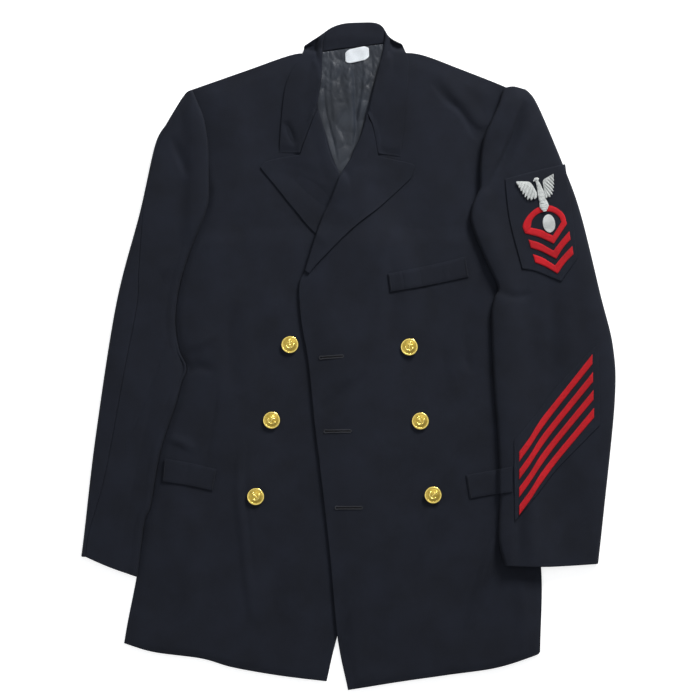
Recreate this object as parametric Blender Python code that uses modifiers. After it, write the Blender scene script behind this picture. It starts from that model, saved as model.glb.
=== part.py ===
"""Double-breasted service dress tunic, laid flat and face up on z = 0.

+X runs to the wearer's left, +Y to the collar, +Z up.  Every table is in millimetres.
Each cloth piece is a sheet with its own seams as edges, laid on the pieces below it.
"""
import math

import bmesh
import bpy
import numpy as np
from mathutils import Vector
from mathutils.bvhtree import BVHTree

MM = 0.001

# Driving dimensions, millimetres.
CLOTH = 2.0              # wool, canvas and lining together
LINING = 1.0             # satin alone
SEAM = 0.3               # room left between pieces that meet
LOFT = 3.0               # air between back and front in the middle of the body
EASE = 22.0              # width over which a front rounds down to its side
SLEEVE_BEND = 2.7        # inner radius of the fold along a sleeve
SLEEVE_OVER_BODY = 10.6  # height of the left sleeve where it crosses the body
BUTTON_DIAMETER = 22.2
BUTTON_HEIGHT = 6.0
TRIM = 1.0               # thickness of welts and of the badge and stripe grounds
COLLAR_CLOTH = 1.8       # fall of the collar
STAND_CLOTH = 1.6        # collar stand
STAND_HEIGHT = 3.2       # underside of the stand above the surface
FELT = 0.9               # felt and thread work on the sleeve
TAPE = 0.6               # neck label
HIND_OVERHANG = 1.2      # how far the under sleeve reaches past its fold at the seam
SLEEVE_AIR = 3.0         # air inside the left sleeve
FOLD_RUN = 16.0          # width over which a sleeve rises from its fold

# Outlines, each row (x, y).
SHOULDER_RIGHT = ((-202, 334), (-125, 361), (-69, 380), (-44, 380))
SHOULDER_LEFT = ((57, 382), (91, 380), (141, 362), (192, 342), (202, 337))
ARMHOLE_RIGHT = ((-202, 334), (-184, 299), (-179, 268), (-178, 227), (-179, 192), (-189, 156))
ARMHOLE_LEFT = ((202, 337), (184, 294), (174, 274), (170, 241), (169, 209), (176, 159))
SIDE_RIGHT = ((-189, 156), (-213, 83), (-217, 42), (-212, 8), (-203, -14), (-218, -65), (-236, -120),
              (-248, -187), (-266, -276), (-277, -332), (-282, -361))
SIDE_LEFT = ((176, 159), (195, -14), (223, -149), (243, -263), (242, -372))
HEM_RIGHT = ((-282, -361), (-244, -372), (-185, -380), (-146, -391), (-90, -401), (-27, -409))
HEM_LEFT = ((0, -420), (62, -410), (124, -401), (186, -392), (234, -376), (242, -372))
BACK_NECK = ((-44, 380), (-28, 381), (5, 387), (40, 391), (57, 382))
CENTRE_BACK = ((5, 387), (-4, 100), (-8, -170))
VENT_RIGHT = ((-8, -170), (-18, -280), (-40, -400))
VENT_LEFT = ((-8, -170), (0, -280), (14, -410))

NECK_EDGE_RIGHT = ((-44, 380), (-35, 350), (-39, 323), (-38, 311), (-30, 284), (-10, 227), (54, 110))
FRONT_EDGE_RIGHT = ((54, 110), (60, 45), (50, -7), (41, -85), (34, -142), (17, -248), (-14, -354),
                    (-27, -409))
NECK_EDGE_LEFT = ((57, 382), (44, 368), (34, 345), (28, 324), (16, 277), (4, 248), (-14, 214), (-39, 152),
                  (-54, 108))
FRONT_EDGE_LEFT = ((-54, 108), (-62, 89), (-59, 45), (-50, -7), (-42, -85), (-35, -142), (-23, -248),
                   (-13, -355), (0, -420))

# Collar strip: its fold and its free edge, each row (x, y, z), from the right gorge round to the left.
COLLAR_FOLD = ((-40, 312, 9.2), (-34, 348, 9.2), (-33, 374, 9.2), (-32, 396, 9.8), (-27, 409, 6.0),
               (-8, 418, 1.4), (16, 420, 1.2), (36, 419, 1.4), (46, 410, 6.0), (46, 396, 10.2),
               (42, 376, 10.0), (34, 345, 11.4), (25, 305, 13.2))
COLLAR_EDGE = ((-87, 256, 9.2), (-83, 309, 9.2), (-78, 342, 9.2), (-67, 366, 9.4), (-57, 382, 9.8),
               (-54, 391, 6.2), (-42, 391, 1.4), (-30, 377, 0.9), (-12, 374, 0.9), (16, 374, 0.9),
               (40, 379, 0.9), (56, 392, 1.4), (67, 393, 6.6), (72, 384, 10.5), (76, 369, 10.0),
               (74, 330, 11.4), (66, 251, 13.2))
GORGE_RIGHT = (((-40, 311), (-44, 301), (-58, 265), (-60, 256)), ((-60, 256), (-87, 256)))
GORGE_LEFT = (((25, 304), (32, 287), (38, 255)), ((38, 255), (66, 251)))
STAND_SEAM = ((-20, 387), (6, 391), (37, 396))
STAND_TOP = ((-17, 399), (-8, 411), (16, 415), (32, 414), (38, 405))


def spline(rows, count):
    """Smooth curve through the rows, read at points spaced evenly along it."""
    rows = np.array(rows, float)
    before = 2 * rows[0] - rows[1]
    after = 2 * rows[-1] - rows[-2]
    knots = np.vstack([before, rows, after])
    t = np.linspace(0, 1, 24, endpoint=False)[:, None]
    runs = []
    for a, b, c, d in zip(knots, knots[1:], knots[2:], knots[3:]):
        runs.append(0.5 * (2 * b + (c - a) * t + (2 * a - 5 * b + 4 * c - d) * t**2
                           + (3 * b - 3 * c + d - a) * t**3))
    fine = np.vstack(runs + [rows[-1:]])
    return resample(fine, count)


def resample(points, count):
    """The same polyline read at evenly spaced lengths."""
    length = np.concatenate([[0], np.cumsum(np.linalg.norm(np.diff(points, axis=0), axis=1))])
    at = np.linspace(0, length[-1], count)
    return np.stack([np.interp(at, length, points[:, k]) for k in range(points.shape[1])], axis=1)


def chain(parts, count):
    """Splines joined end to end with sharp corners between them."""
    fine = [spline(part, 60) for part in parts]
    return resample(np.vstack([fine[0]] + [run[1:] for run in fine[1:]]), count)


def joined(parts, counts):
    """Splines joined end to end, each read at its own count of points."""
    runs = [spline(part, count) for part, count in zip(parts, counts)]
    return np.vstack([runs[0]] + [run[1:] for run in runs[1:]])


def coons(inner, outer, bottom, top, reach=1.0):
    """Sheet between four edges: u runs from inner to outer, v from top to bottom.

    The bends of the two ends fade out over the reach, a share of the sheet's length.
    """
    u = np.linspace(0, 1, len(top))[None, :, None]
    v = np.linspace(0, 1, len(inner))[:, None, None]
    top_bend = top[None] - (1 - u) * top[0] - u * top[-1]
    bottom_bend = bottom[None] - (1 - u) * bottom[0] - u * bottom[-1]
    near_top = np.clip(1 - v / reach, 0, 1)
    near_bottom = np.clip(1 - (1 - v) / reach, 0, 1)
    return (1 - u) * inner[:, None] + u * outer[:, None] + near_top * top_bend + near_bottom * bottom_bend


def inset(grid, gap):
    """Draw the sheet's four edges in by the gap, so that neighbours clear each other."""
    out = grid.copy()
    for axis in (0, 1):
        rows = np.swapaxes(out, 0, axis)
        step = rows[1] - rows[0]
        rows[0] += gap * step / np.maximum(np.linalg.norm(step, axis=1), gap)[:, None]
        step = rows[-2] - rows[-1]
        rows[-1] += gap * step / np.maximum(np.linalg.norm(step, axis=1), gap)[:, None]
    return out


def smoothstep(low, high, value):
    """0 below low, 1 above high, and a smooth rise between."""
    t = np.clip((value - low) / (high - low), 0, 1)
    return t * t * (3 - 2 * t)


def material(name, colour, roughness, metallic=0.0):
    """Principled material with its own colour, roughness and metallic value."""
    made = bpy.data.materials.new(name)
    made.use_nodes = True
    shader = made.node_tree.nodes["Principled BSDF"]
    shader.inputs["Base Color"].default_value = (*colour, 1)
    shader.inputs["Roughness"].default_value = roughness
    shader.inputs["Metallic"].default_value = metallic
    return made


def add_object(name, mesh, finish):
    """Put the mesh in the tunic's collection with its material, and return the object."""
    mesh.name = name
    mesh.materials.append(finish)
    made = bpy.data.objects.new(name, mesh)
    tunic.objects.link(made)
    return made


def sheet_mesh(grid):
    """Grid of quads moved onto the given points, millimetres."""
    rows, columns, _ = grid.shape
    mesh = bmesh.new()
    bmesh.ops.create_grid(mesh, x_segments=columns - 1, y_segments=rows - 1, size=1)
    for vertex, point in zip(mesh.verts, grid.reshape(-1, 3)):
        vertex.co = Vector(point) * MM
    return mesh


def finish_mesh(mesh):
    """Turn every face outward and hand the mesh over."""
    bmesh.ops.recalc_face_normals(mesh, faces=mesh.faces[:])
    data = bpy.data.meshes.new("piece")
    mesh.to_mesh(data)
    mesh.free()
    return data


def slab(name, underside, thickness, finish):
    """Sheet whose underside is the grid, with its thickness straight up."""
    mesh = sheet_mesh(underside)
    extruded = bmesh.ops.extrude_face_region(mesh, geom=mesh.faces[:])["geom"]
    upper = [item for item in extruded if isinstance(item, bmesh.types.BMVert)]
    bmesh.ops.translate(mesh, verts=upper, vec=(0, 0, thickness * MM))
    return add_object(name, finish_mesh(mesh), finish)


def shell(name, middle, thickness, finish):
    """Folded sheet: the grid is its middle, and Solidify gives it both faces."""
    made = add_object(name, finish_mesh(sheet_mesh(middle)), finish)
    wall = made.modifiers.new("wall", "SOLIDIFY")
    wall.thickness = thickness * MM
    wall.offset = 0
    wall.use_even_offset = True
    return made


def tree_of(piece):
    """Ray-casting tree of a piece as built, its modifiers included."""
    return BVHTree.FromObject(piece, bpy.context.evaluated_depsgraph_get())


def rest_on(flat, below, hold=0.0, slope=0.25):
    """Height at which cloth at the flat points rests on the pieces below it.

    Over a step the cloth eases down: each point also looks round itself, a high spot within
    the hold distance bears it fully, and one further off bears it less, by the slope.
    """
    bpy.context.view_layer.update()
    trees = [tree_of(piece) for piece in below]
    offsets = [(0.0, 0.0)]
    for ring in (0.5, 1.0, 1.7, 2.4) if hold else ():
        turns = np.linspace(0, 2 * math.pi, 12, endpoint=False) + ring
        offsets += [(hold * ring * math.cos(a), hold * ring * math.sin(a)) for a in turns]
    heights = np.zeros(flat.shape[:2])
    for index in np.ndindex(heights.shape):
        x, y = flat[index][:2]
        for dx, dy in offsets:
            drop = slope * max(0.0, math.hypot(dx, dy) - hold)
            for tree in trees:
                hit = tree.ray_cast(Vector(((x + dx) * MM, (y + dy) * MM, 1)), Vector((0, 0, -1)))[0]
                if hit is not None:
                    heights[index] = max(heights[index], hit.z / MM - drop)
    return heights


def lay(name, flat, below, thickness, finish, gap=SEAM, loft=0.0, hold=0.0, slope=0.25):
    """Sheet laid on the pieces below it, drawn in at its seams, with extra loft where given."""
    flat = inset(flat, SEAM / 2)
    height = rest_on(flat, below, hold, slope) + gap + loft
    return slab(name, np.dstack([flat, height]), thickness, finish)


def polar(centre, radii, rings, turns):
    """Disc of rings round a centre; the radii give (angle in degrees, radius) round the outline."""
    table = np.array(radii, float)
    angle = np.linspace(0, 360, turns, endpoint=False)
    radius = np.interp(angle, table[:, 0], table[:, 1], period=360)
    across = np.stack([np.cos(np.radians(angle)), np.sin(np.radians(angle))], axis=1)
    return np.array(centre) + np.linspace(0.12, 1, rings)[:, None, None] * radius[:, None] * across


def closed_band(name, flat, below, thickness, finish, filled, gap=0.5, hold=3.0):
    """Ring of cloth or braid laid on a piece; a filled one has its middle closed."""
    rings, turns, _ = flat.shape
    height = rest_on(flat, below, hold) + gap
    mesh = bmesh.new()
    points = np.dstack([flat, height])
    grid = [[mesh.verts.new(Vector(point) * MM) for point in row] for row in points]
    for inner, outer in zip(grid, grid[1:]):
        for k in range(turns):
            mesh.faces.new((inner[k], inner[(k + 1) % turns], outer[(k + 1) % turns], outer[k]))
    if filled:
        mesh.faces.new(grid[0])
    extruded = bmesh.ops.extrude_face_region(mesh, geom=mesh.faces[:])["geom"]
    upper = [item for item in extruded if isinstance(item, bmesh.types.BMVert)]
    bmesh.ops.translate(mesh, verts=upper, vec=(0, 0, thickness * MM))
    return add_object(name, finish_mesh(mesh), finish)


def straight(start, end, count):
    """Even points from start to end."""
    return resample(np.stack([start, end]), count)


def quad(corners, columns, rows):
    """Four-cornered sheet: corners in order top inner, top outer, bottom outer, bottom inner."""
    a, b, c, d = np.array(corners, float)
    return coons(straight(a, d, rows), straight(b, c, rows), straight(d, c, columns), straight(a, b, columns))


def band(centre_line, half_width, across, columns):
    """Band of even width along a line; across is the direction of its width."""
    line = resample(np.array(centre_line, float), columns)
    step = np.array(across, float) * half_width
    return np.stack([line - step, line, line + step])


# ---------------------------------------------------------------------------------------------
for old in list(bpy.data.objects):
    bpy.data.objects.remove(old, do_unlink=True)
tunic = bpy.data.collections.new("dress_tunic")
bpy.context.scene.collection.children.link(tunic)

wool = material("navy_wool", (0.014, 0.017, 0.028), 0.85)
satin = material("grey_satin", (0.05, 0.058, 0.07), 0.4)
gilt = material("gilt", (0.75, 0.52, 0.2), 0.25, 1.0)
scarlet = material("scarlet_felt", (0.6, 0.012, 0.02), 0.8)
silver = material("silver_thread", (0.55, 0.57, 0.55), 0.5)
tape = material("white_tape", (0.62, 0.66, 0.7), 0.8)


def make_collar(fronts):
    """Collar: one strip from gorge to gorge, over the shoulders and behind the neck."""
    rows, columns = 36, 5
    fold = spline(COLLAR_FOLD, rows)
    edge = spline(COLLAR_EDGE, rows)
    ends = []
    for gorge, fold_end, edge_end in ((GORGE_RIGHT, fold[0], edge[0]), (GORGE_LEFT, fold[-1], edge[-1])):
        line = chain(gorge, columns)
        height = np.linspace(fold_end[2], edge_end[2], columns)
        line = np.column_stack([line, height])
        line[0], line[-1] = fold_end, edge_end
        ends.append(line)
    strip = coons(fold, edge, ends[1], ends[0], reach=0.2)
    laid = rest_on(strip[..., :2], fronts, hold=6.0) + COLLAR_CLOTH
    strip[..., 2] = np.where(strip[..., 2] > 6.5, np.maximum(strip[..., 2], laid), strip[..., 2])
    return shell("collar", strip, COLLAR_CLOTH, wool)


def neck_lift(flat):
    """Height of the back above the surface where the collar's fall lies under it."""
    x, y = flat[..., 0], flat[..., 1]
    return 2.3 * smoothstep(290, 342, y) * (1 - smoothstep(75, 130, abs(x - 6)))


def make_body():
    """Two backs on the surface, the neck lining on them, and two fronts over them."""
    rows = 24
    side_right = joined((ARMHOLE_RIGHT, SIDE_RIGHT), (7, 18))
    side_left = joined((ARMHOLE_LEFT, SIDE_LEFT), (7, 18))
    neck = spline(BACK_NECK, 41)
    neck_right, neck_left = neck[:21], neck[20:]
    columns = 8
    up = np.array((0, 4.0))
    back_top_right = resample(np.vstack([neck_right[::-1], spline(SHOULDER_RIGHT, 30)[::-1][1:]]), columns)
    back_top_left = resample(np.vstack([neck_left, spline(SHOULDER_LEFT, 30)[1:]]), columns)
    hem_right = resample(spline(HEM_RIGHT, 60)[::-1][6:], columns) + up
    hem_left = resample(spline(HEM_LEFT, 60)[6:], columns) + up
    hem_right[-1] = side_right[-1]
    hem_left[-1] = side_left[-1]
    centre_right = chain((CENTRE_BACK, VENT_RIGHT), rows)
    centre_left = chain((CENTRE_BACK, VENT_LEFT), rows)
    centre_right[-1], centre_left[-1] = hem_right[0], hem_left[0]
    backs = []
    for name, centre, side, hem, top in (
            ("back_right", centre_right, side_right, hem_right, back_top_right),
            ("back_left", centre_left, side_left, hem_left, back_top_left)):
        top = top.copy()
        top[0], top[-1] = centre[0], side[0]
        flat = inset(coons(centre, side, hem, top), SEAM / 2)
        backs.append(slab(name, np.dstack([flat, neck_lift(flat)]), CLOTH, wool))

    inner = spline(((-34, 377), (-50, 323), (-42, 284), (-32, 250), (-20, 208)), 14)
    outer = spline(((44, 388), (50, 352), (40, 324), (20, 268), (4, 208)), 14)
    lining_top = spline(((-34, 377), (5, 382), (44, 388)), 6)
    lining_foot = resample(np.stack([inner[-1], outer[-1]]), 6)
    lining = lay("back_lining", coons(inner, outer, lining_foot, lining_top), backs, LINING, satin,
                 gap=0.5, hold=5.0)

    fronts = []
    for name, lapel_edge, front_edge, side, hem, top, below in (
            ("front_right", NECK_EDGE_RIGHT, FRONT_EDGE_RIGHT, side_right, HEM_RIGHT[::-1],
             SHOULDER_RIGHT[::-1], backs + [lining]),
            ("front_left", NECK_EDGE_LEFT, FRONT_EDGE_LEFT, side_left, HEM_LEFT,
             SHOULDER_LEFT, backs + [lining])):
        if fronts:
            below = below + fronts + [make_lapel("lapel_right", LAPEL_RIGHT, fronts)]
        flat = coons(chain((lapel_edge, front_edge), rows), side, spline(hem, 12), spline(top, 12))
        u = np.linspace(0, 1, 12)[None, :]
        v = np.linspace(0, 1, rows)[:, None]
        width = np.linalg.norm(flat[:, -1] - flat[:, 0], axis=1)[:, None]
        loft = LOFT * smoothstep(0, EASE, (1 - u) * width) * smoothstep(0, 0.04, v)
        loft = loft * smoothstep(0, EASE, u * width + 8) * smoothstep(0, 0.05, 1.02 - v)
        if fronts:
            loft = loft * smoothstep(40, 120, u * width)
        fronts.append(lay(name, flat, below, CLOTH, wool, gap=0.9 if fronts else 0.4, loft=loft, hold=16.0))
    return lining, fronts


# Lapels: outer edge, roll line, top edge in two stretches, each row (x, y).
LAPEL_RIGHT = dict(
    outer=((-110, 238), (-92, 215), (-66, 183), (-40, 154), (4, 126), (50, 108)),
    roll=((-38, 308), (-30, 284), (-23, 254), (-8, 225), (54, 112)),
    top=(((-110, 238), (-102, 246), (-84, 250), (-60, 253)),
         ((-60, 253), (-57, 264), (-43, 299), (-38, 308))))
LAPEL_LEFT = dict(
    outer=((84, 236), (76, 221), (40, 188), (14, 168), (-9, 147), (-50, 105)),
    roll=((25, 302), (23, 296), (16, 277), (4, 248), (-14, 214), (-39, 152), (-54, 109)),
    top=(((84, 236), (79, 243), (60, 248), (38, 252)), ((38, 252), (32, 284), (25, 302))))


def make_lapel(name, cut, below):
    """Peaked lapel turned back over its front, from the gorge to the break of the roll."""
    roll = spline(cut["roll"], 12)
    outer = spline(cut["outer"], 12)
    top = chain(cut["top"], 7)
    foot = resample(np.stack([outer[-1], roll[-1]]), 7)
    return lay(name, coons(outer, roll, foot, top), below, CLOTH, wool, gap=0.6, hold=8.0)


def cuff_line(inner, outer, count):
    """Cuff edge between the ends of a sleeve's two folds."""
    return resample(np.stack([inner[-1], outer[-1]]), count)


def make_right_sleeves():
    """Two-piece sleeve beside the body; the under sleeve comes round the fold to the hind seam."""
    clear = np.array((-0.7, 0.0))
    body_side = joined((ARMHOLE_RIGHT, SIDE_RIGHT), (7, 18))
    inner = np.vstack([body_side[body_side[:, 1] > -262], [(-266, -277)]]) + clear
    rows = len(inner)
    outer = spline(((-213, 317), (-228, 292), (-242, 266), (-261, 182), (-291, 66), (-317, -101),
                    (-331, -220), (-335, -252)), rows)
    hind = spline(((-206, 312), (-224, 290), (-237, 264), (-255, 200), (-262, 112), (-264, 66), (-280, -18),
                   (-305, -152), (-325, -220), (-330, -252)), rows)
    centre = SLEEVE_BEND + CLOTH / 2
    inward = inner - outer
    inward = inward / np.linalg.norm(inward, axis=1)[:, None]
    bend = outer + inward * centre
    start = inner - inward * 1.5
    columns = []
    for share in np.linspace(0, 1, 5):
        columns.append(np.column_stack([start + (bend - start) * share, np.full(rows, CLOTH / 2)]))
    for angle in np.radians((-45, 0, 45, 90)):
        across = bend - inward * SLEEVE_BEND * math.cos(angle)
        height = CLOTH / 2 + SLEEVE_BEND + SLEEVE_BEND * math.sin(angle)
        columns.append(np.column_stack([across, np.full(rows, height)]))
    limit = bend + inward * HIND_OVERHANG
    past = np.sum((hind - limit) * inward, axis=1)[:, None]
    seam = np.where(past > 0, hind, limit)
    columns.append(np.column_stack([seam, np.full(rows, CLOTH / 2 + 2 * SLEEVE_BEND)]))
    shell("under_sleeve_right", np.stack(columns, axis=1), CLOTH, wool)

    seam = seam + inward * HIND_OVERHANG
    flat = coons(inner, seam, cuff_line(inner, seam, 8), cuff_line(inner[:1], seam[:1], 8))
    u = np.linspace(0, 1, 8)[None, :]
    width = np.linalg.norm(seam - inner, axis=1)[:, None]
    low = CLOTH + 2 * SEAM
    height = low + (2 * SLEEVE_BEND - low) * smoothstep(-2, FOLD_RUN, u * width)
    slab("top_sleeve_right", np.dstack([inset(flat, 2 * SEAM), height]), CLOTH, wool)


def make_left_sleeves():
    """Two-piece sleeve that lies over the body's left side from the armpit down."""
    clear = np.array((0.6, 0.0))
    over_body = ((176, 159), (174, 130), (188, 88), (184, 60), (182, 20), (184, -30), (190, -117),
                 (191, -200), (198, -263))
    inner = joined((ARMHOLE_LEFT, over_body), (7, 19)) + clear
    outer = spline(((218, 337), (226, 334), (239, 314), (270, 241), (292, 180), (317, 78),
                    (333, 11), (335, -57), (321, -197), (314, -261)), len(inner))
    cuff = cuff_line(inner, outer, 9)
    cap = cuff_line(inner[:1], outer[:1], 9)
    flat = coons(inner, outer, cuff, cap)
    x, y = flat[..., 0], flat[..., 1]
    side = spline(ARMHOLE_LEFT[:-1] + SIDE_LEFT, 200)
    side_x = np.interp(-y, -side[:, 1], side[:, 0])
    over = smoothstep(-252, -216, -y) * smoothstep(-44, -4, side_x - x)
    lift = SLEEVE_OVER_BODY * over
    under = slab("under_sleeve_left", np.dstack([flat, lift]), CLOTH, wool)
    u = np.linspace(0, 1, 9)[None, :]
    width = np.linalg.norm(outer - inner, axis=1)[:, None]
    rounding = smoothstep(-2, FOLD_RUN, u * width) * smoothstep(-2, FOLD_RUN, (1 - u) * width)
    height = lift + CLOTH + SEAM + 0.1 + SLEEVE_AIR * rounding
    top = slab("top_sleeve_left", np.dstack([flat, height]), CLOTH, wool)
    return under, top


def make_buttons(fronts):
    """Six domed gilt buttons in two columns that draw together towards the hem."""
    radius = BUTTON_DIAMETER / 2
    shares = ((0.0, 1.0), (0.45, 0.92), (0.78, 0.7), (0.9, 0.6), (1.0, 0.45), (1.0, 0.2), (0.88, 0.0), (0.0, 0.0))
    profile = [(radius * across, BUTTON_HEIGHT * up) for across, up in shares]
    places = ((-73, 15), (-96, -80), (-116, -176), (77, 12), (91, -81), (107, -174))
    for number, (x, y) in enumerate(places, 1):
        disc = polar((x, y), ((0, radius), (180, radius)), 3, 12)
        seat = rest_on(disc, fronts).max() + 0.4
        mesh = bpy.data.meshes.new("profile")
        edges = [(k, k + 1) for k in range(len(profile) - 1)]
        mesh.from_pydata([(r * MM, 0, z * MM) for r, z in profile], edges, [])
        made = add_object(f"button_{number}", mesh, gilt)
        made.location = (x * MM, y * MM, seat * MM)
        turn = made.modifiers.new("turn", "SCREW")
        turn.steps = turn.render_steps = 16
        turn.use_merge_vertices = True
        turn.merge_threshold = 0.0001


# Arc of the badge, joined below to its top chevron: its outer and inner outlines, each row (x, y).
ARC_OUTER = (((222.3, 154.7), (219.4, 164.4), (226, 177), (238, 187), (251, 190), (263, 186), (271.5, 178),
              (275, 166.5)),
             ((275, 166.5), (266, 153), (258.3, 141.6)), ((258.3, 141.6), (241, 149.5), (222.3, 154.7)))
ARC_INNER = (((229.3, 161.9), (231.5, 171.5), (238, 178.5), (248, 182), (258, 180.5), (265, 175),
              (267.8, 169)),
             ((267.8, 169), (262.5, 160), (256.9, 151.8)), ((256.9, 151.8), (244, 158.5), (229.3, 161.9)))


def make_badge(sleeve):
    """Rate badge: navy ground, plain bird, arc with its top chevron, two more chevrons, oval."""
    left = resample(np.array(((197, 223), (203, 172), (219, 110)), float), 8)
    right = resample(np.array(((271, 241), (281, 172), (288, 123)), float), 8)
    top = resample(np.array(((197, 223), (271, 241)), float), 7)
    foot = resample(np.array(((219, 110), (268, 94), (288, 123)), float), 7)
    patch = lay("badge_patch", coons(left, right, foot, top), [sleeve], TRIM, wool, gap=0.5, hold=5.0)
    bird = ((0, 6), (30, 12), (44, 29), (58, 32), (72, 24), (84, 11), (98, 12), (108, 26), (122, 33),
            (136, 28), (150, 12), (180, 7), (230, 9), (262, 19), (278, 19), (310, 9))
    outer = joined(ARC_OUTER, (17, 7, 7))[:-1]
    inner = joined(ARC_INNER, (17, 7, 7))[:-1]
    share = np.linspace(0, 1, 3)[:, None, None]
    arc = closed_band("badge_arc", inner + share * (outer - inner), [patch], FELT, scarlet, False)
    closed_band("badge_bird", polar((243, 199), bird, 3, 36), [patch, arc], FELT, silver, True)
    oval = polar((252.4, 167), ((8, 7.6), (98, 11.2), (188, 7.6), (278, 11.2)), 2, 20)
    closed_band("badge_oval", oval, [patch], FELT, silver, True)
    for number, drop in ((1, 0), (2, 18.5)):
        line = np.array(((228, 141), (261, 127.5), (279, 151))) + drop * np.array(((0.3, -1), (0.1, -1), (0.2, -1)))
        chevron = band(line, 5.2, (0.15, 1), 9)
        lay(f"badge_chevron_{number}", chevron, [patch], FELT, scarlet, gap=0.6, hold=3.0)


def make_stripes(sleeve):
    """Four slanting service stripes on one backing, low on the left sleeve."""
    inner = resample(np.array(((208, -108), (209, -206)), float), 7)
    outer = resample(np.array(((314, 16), (317, -85)), float), 7)
    bow = spline(((208, -108), (238, -72), (262, -40), (314, 16)), 9)
    foot = spline(((209, -206), (240, -170), (264, -140), (317, -85)), 9)
    patch = lay("stripe_patch", coons(inner, outer, foot, bow), [sleeve], TRIM, wool, gap=0.5, hold=5.0)
    for number in range(4):
        drop = 22.4 * number
        line = spline(((214.5, -126), (242, -86), (265, -56), (307, -4)), 11) - np.array((0, drop))
        lay(f"stripe_{number + 1}", band(line, 5.9, (0, 1), 11), [patch], FELT, scarlet, gap=0.5, hold=4.0)


def make_trim(fronts, lining, stand):
    """Pocket welts on the fronts and the label in the neck."""
    front_right, front_left = fronts
    lay("breast_welt", quad(((50, 103), (148, 125), (152, 100), (53, 81)), 9, 4), [front_left], TRIM, wool,
        gap=0.5, hold=4.0)
    lay("hip_welt_right", quad(((-231, -128), (-165, -142), (-170, -169), (-234, -157)), 8, 4), [front_right],
        TRIM, wool, gap=0.5, hold=4.0)
    lay("hip_welt_left", quad(((150, -149), (206, -138), (206, -170), (155, -179)), 8, 4), [front_left],
        TRIM, wool, gap=0.5, hold=4.0)
    label = quad(((-1, 387), (28, 389), (25, 373), (-6, 370)), 5, 4)
    lay("neck_label", label, [lining, stand], TAPE, tape, gap=0.4, hold=4.0)


def make_stand():
    """Collar stand, seen inside the back of the neck between its seam and the collar's fold."""
    foot = spline(STAND_SEAM, 9)
    top = spline(STAND_TOP, 9)
    flat = coons(straight(top[0], foot[0], 4), straight(top[-1], foot[-1], 4), foot, top)
    height = np.full(flat.shape[:2], STAND_HEIGHT)
    return slab("collar_stand", np.dstack([flat, height]), STAND_CLOTH, wool)


lining_piece, front_pieces = make_body()
make_collar(front_pieces)
stand_piece = make_stand()
make_lapel("lapel_left", LAPEL_LEFT, front_pieces)
make_right_sleeves()
under_left, top_left = make_left_sleeves()
make_buttons(front_pieces)
make_badge(top_left)
make_stripes(top_left)
make_trim(front_pieces, lining_piece, stand_piece)
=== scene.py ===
import math

import bmesh
import bpy
import numpy as np
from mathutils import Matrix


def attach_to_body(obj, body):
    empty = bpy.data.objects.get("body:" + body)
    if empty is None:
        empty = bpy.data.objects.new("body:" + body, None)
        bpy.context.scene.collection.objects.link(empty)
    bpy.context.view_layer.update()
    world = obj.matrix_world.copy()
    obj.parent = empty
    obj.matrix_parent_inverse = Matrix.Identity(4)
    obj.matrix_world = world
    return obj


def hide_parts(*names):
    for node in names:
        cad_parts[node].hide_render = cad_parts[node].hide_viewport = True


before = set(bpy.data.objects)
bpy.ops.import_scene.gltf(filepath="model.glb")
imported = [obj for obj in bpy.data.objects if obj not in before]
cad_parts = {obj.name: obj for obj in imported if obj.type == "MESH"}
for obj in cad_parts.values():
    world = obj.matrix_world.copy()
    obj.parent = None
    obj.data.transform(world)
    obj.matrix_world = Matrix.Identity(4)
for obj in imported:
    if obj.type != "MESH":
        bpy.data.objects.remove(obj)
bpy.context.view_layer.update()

scene = bpy.context.scene

# ------------------------------------------------------------------ table, light and camera
# The tunic lies face up on a plain pale table under a large soft light from the upper right,
# seen from straight above.  Tables of places below are in millimetres, as a tailor measures.
MM = 0.001

table_mesh = bpy.data.meshes.new("table")
table_corners = [(px, py, -0.0002) for px, py in ((-6, -6), (6, -6), (6, 6), (-6, 6))]
table_mesh.from_pydata(table_corners, [], [(0, 1, 2, 3)])
table = bpy.data.objects.new("table", table_mesh)
scene.collection.objects.link(table)
table_paint = bpy.data.materials.new("pale_table")
table_paint.use_nodes = True
table_shader = table_paint.node_tree.nodes["Principled BSDF"]
table_shader.inputs["Base Color"].default_value = (0.6, 0.6, 0.6, 1)
table_shader.inputs["Roughness"].default_value = 0.9
table_shader.inputs["Emission Color"].default_value = (1, 1, 1, 1)
table_shader.inputs["Emission Strength"].default_value = 0.7
table_mesh.materials.append(table_paint)


def soft_light(name, place, size, power, colour=(1, 1, 1)):
    """Square area light at a place in metres, turned to face the middle of the tunic."""
    lamp = bpy.data.lights.new(name, "AREA")
    lamp.size = size
    lamp.energy = power
    lamp.color = colour
    holder = bpy.data.objects.new(name, lamp)
    holder.location = place
    holder.rotation_euler = (-holder.location).to_track_quat("-Z", "Y").to_euler()
    scene.collection.objects.link(holder)


soft_light("key", (1.2, 2.25, 1.3), 0.8, 102)
soft_light("fill", (-1.6, -0.6, 2.2), 1.8, 9, (0.94, 0.97, 1.0))
soft_light("top", (0.1, 0.5, 3.0), 2.0, 14)
world = bpy.data.worlds.new("studio")
world.use_nodes = True
world.node_tree.nodes["Background"].inputs["Color"].default_value = (0.95, 0.97, 1.0, 1)
world.node_tree.nodes["Background"].inputs["Strength"].default_value = 0.34
scene.world = world
scene.view_settings.view_transform = "Standard"

camera_data = bpy.data.cameras.new("camera")
camera_height = 4.0
view_width = 0.882
camera_data.angle = 2 * math.atan(view_width / 2 / camera_height)
camera_data.clip_end = 50
camera = bpy.data.objects.new("camera", camera_data)
camera.location = (0.0025, 0.0082, camera_height)
scene.collection.objects.link(camera)
scene.camera = camera

# ------------------------------------------------------------------ the two backs
# Two wool panels joined down the centre back, with a vent open at the hem.  They carry their
# lining on the inside and lie flat on the table; at the neck the collar's fall lies under them.


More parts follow.
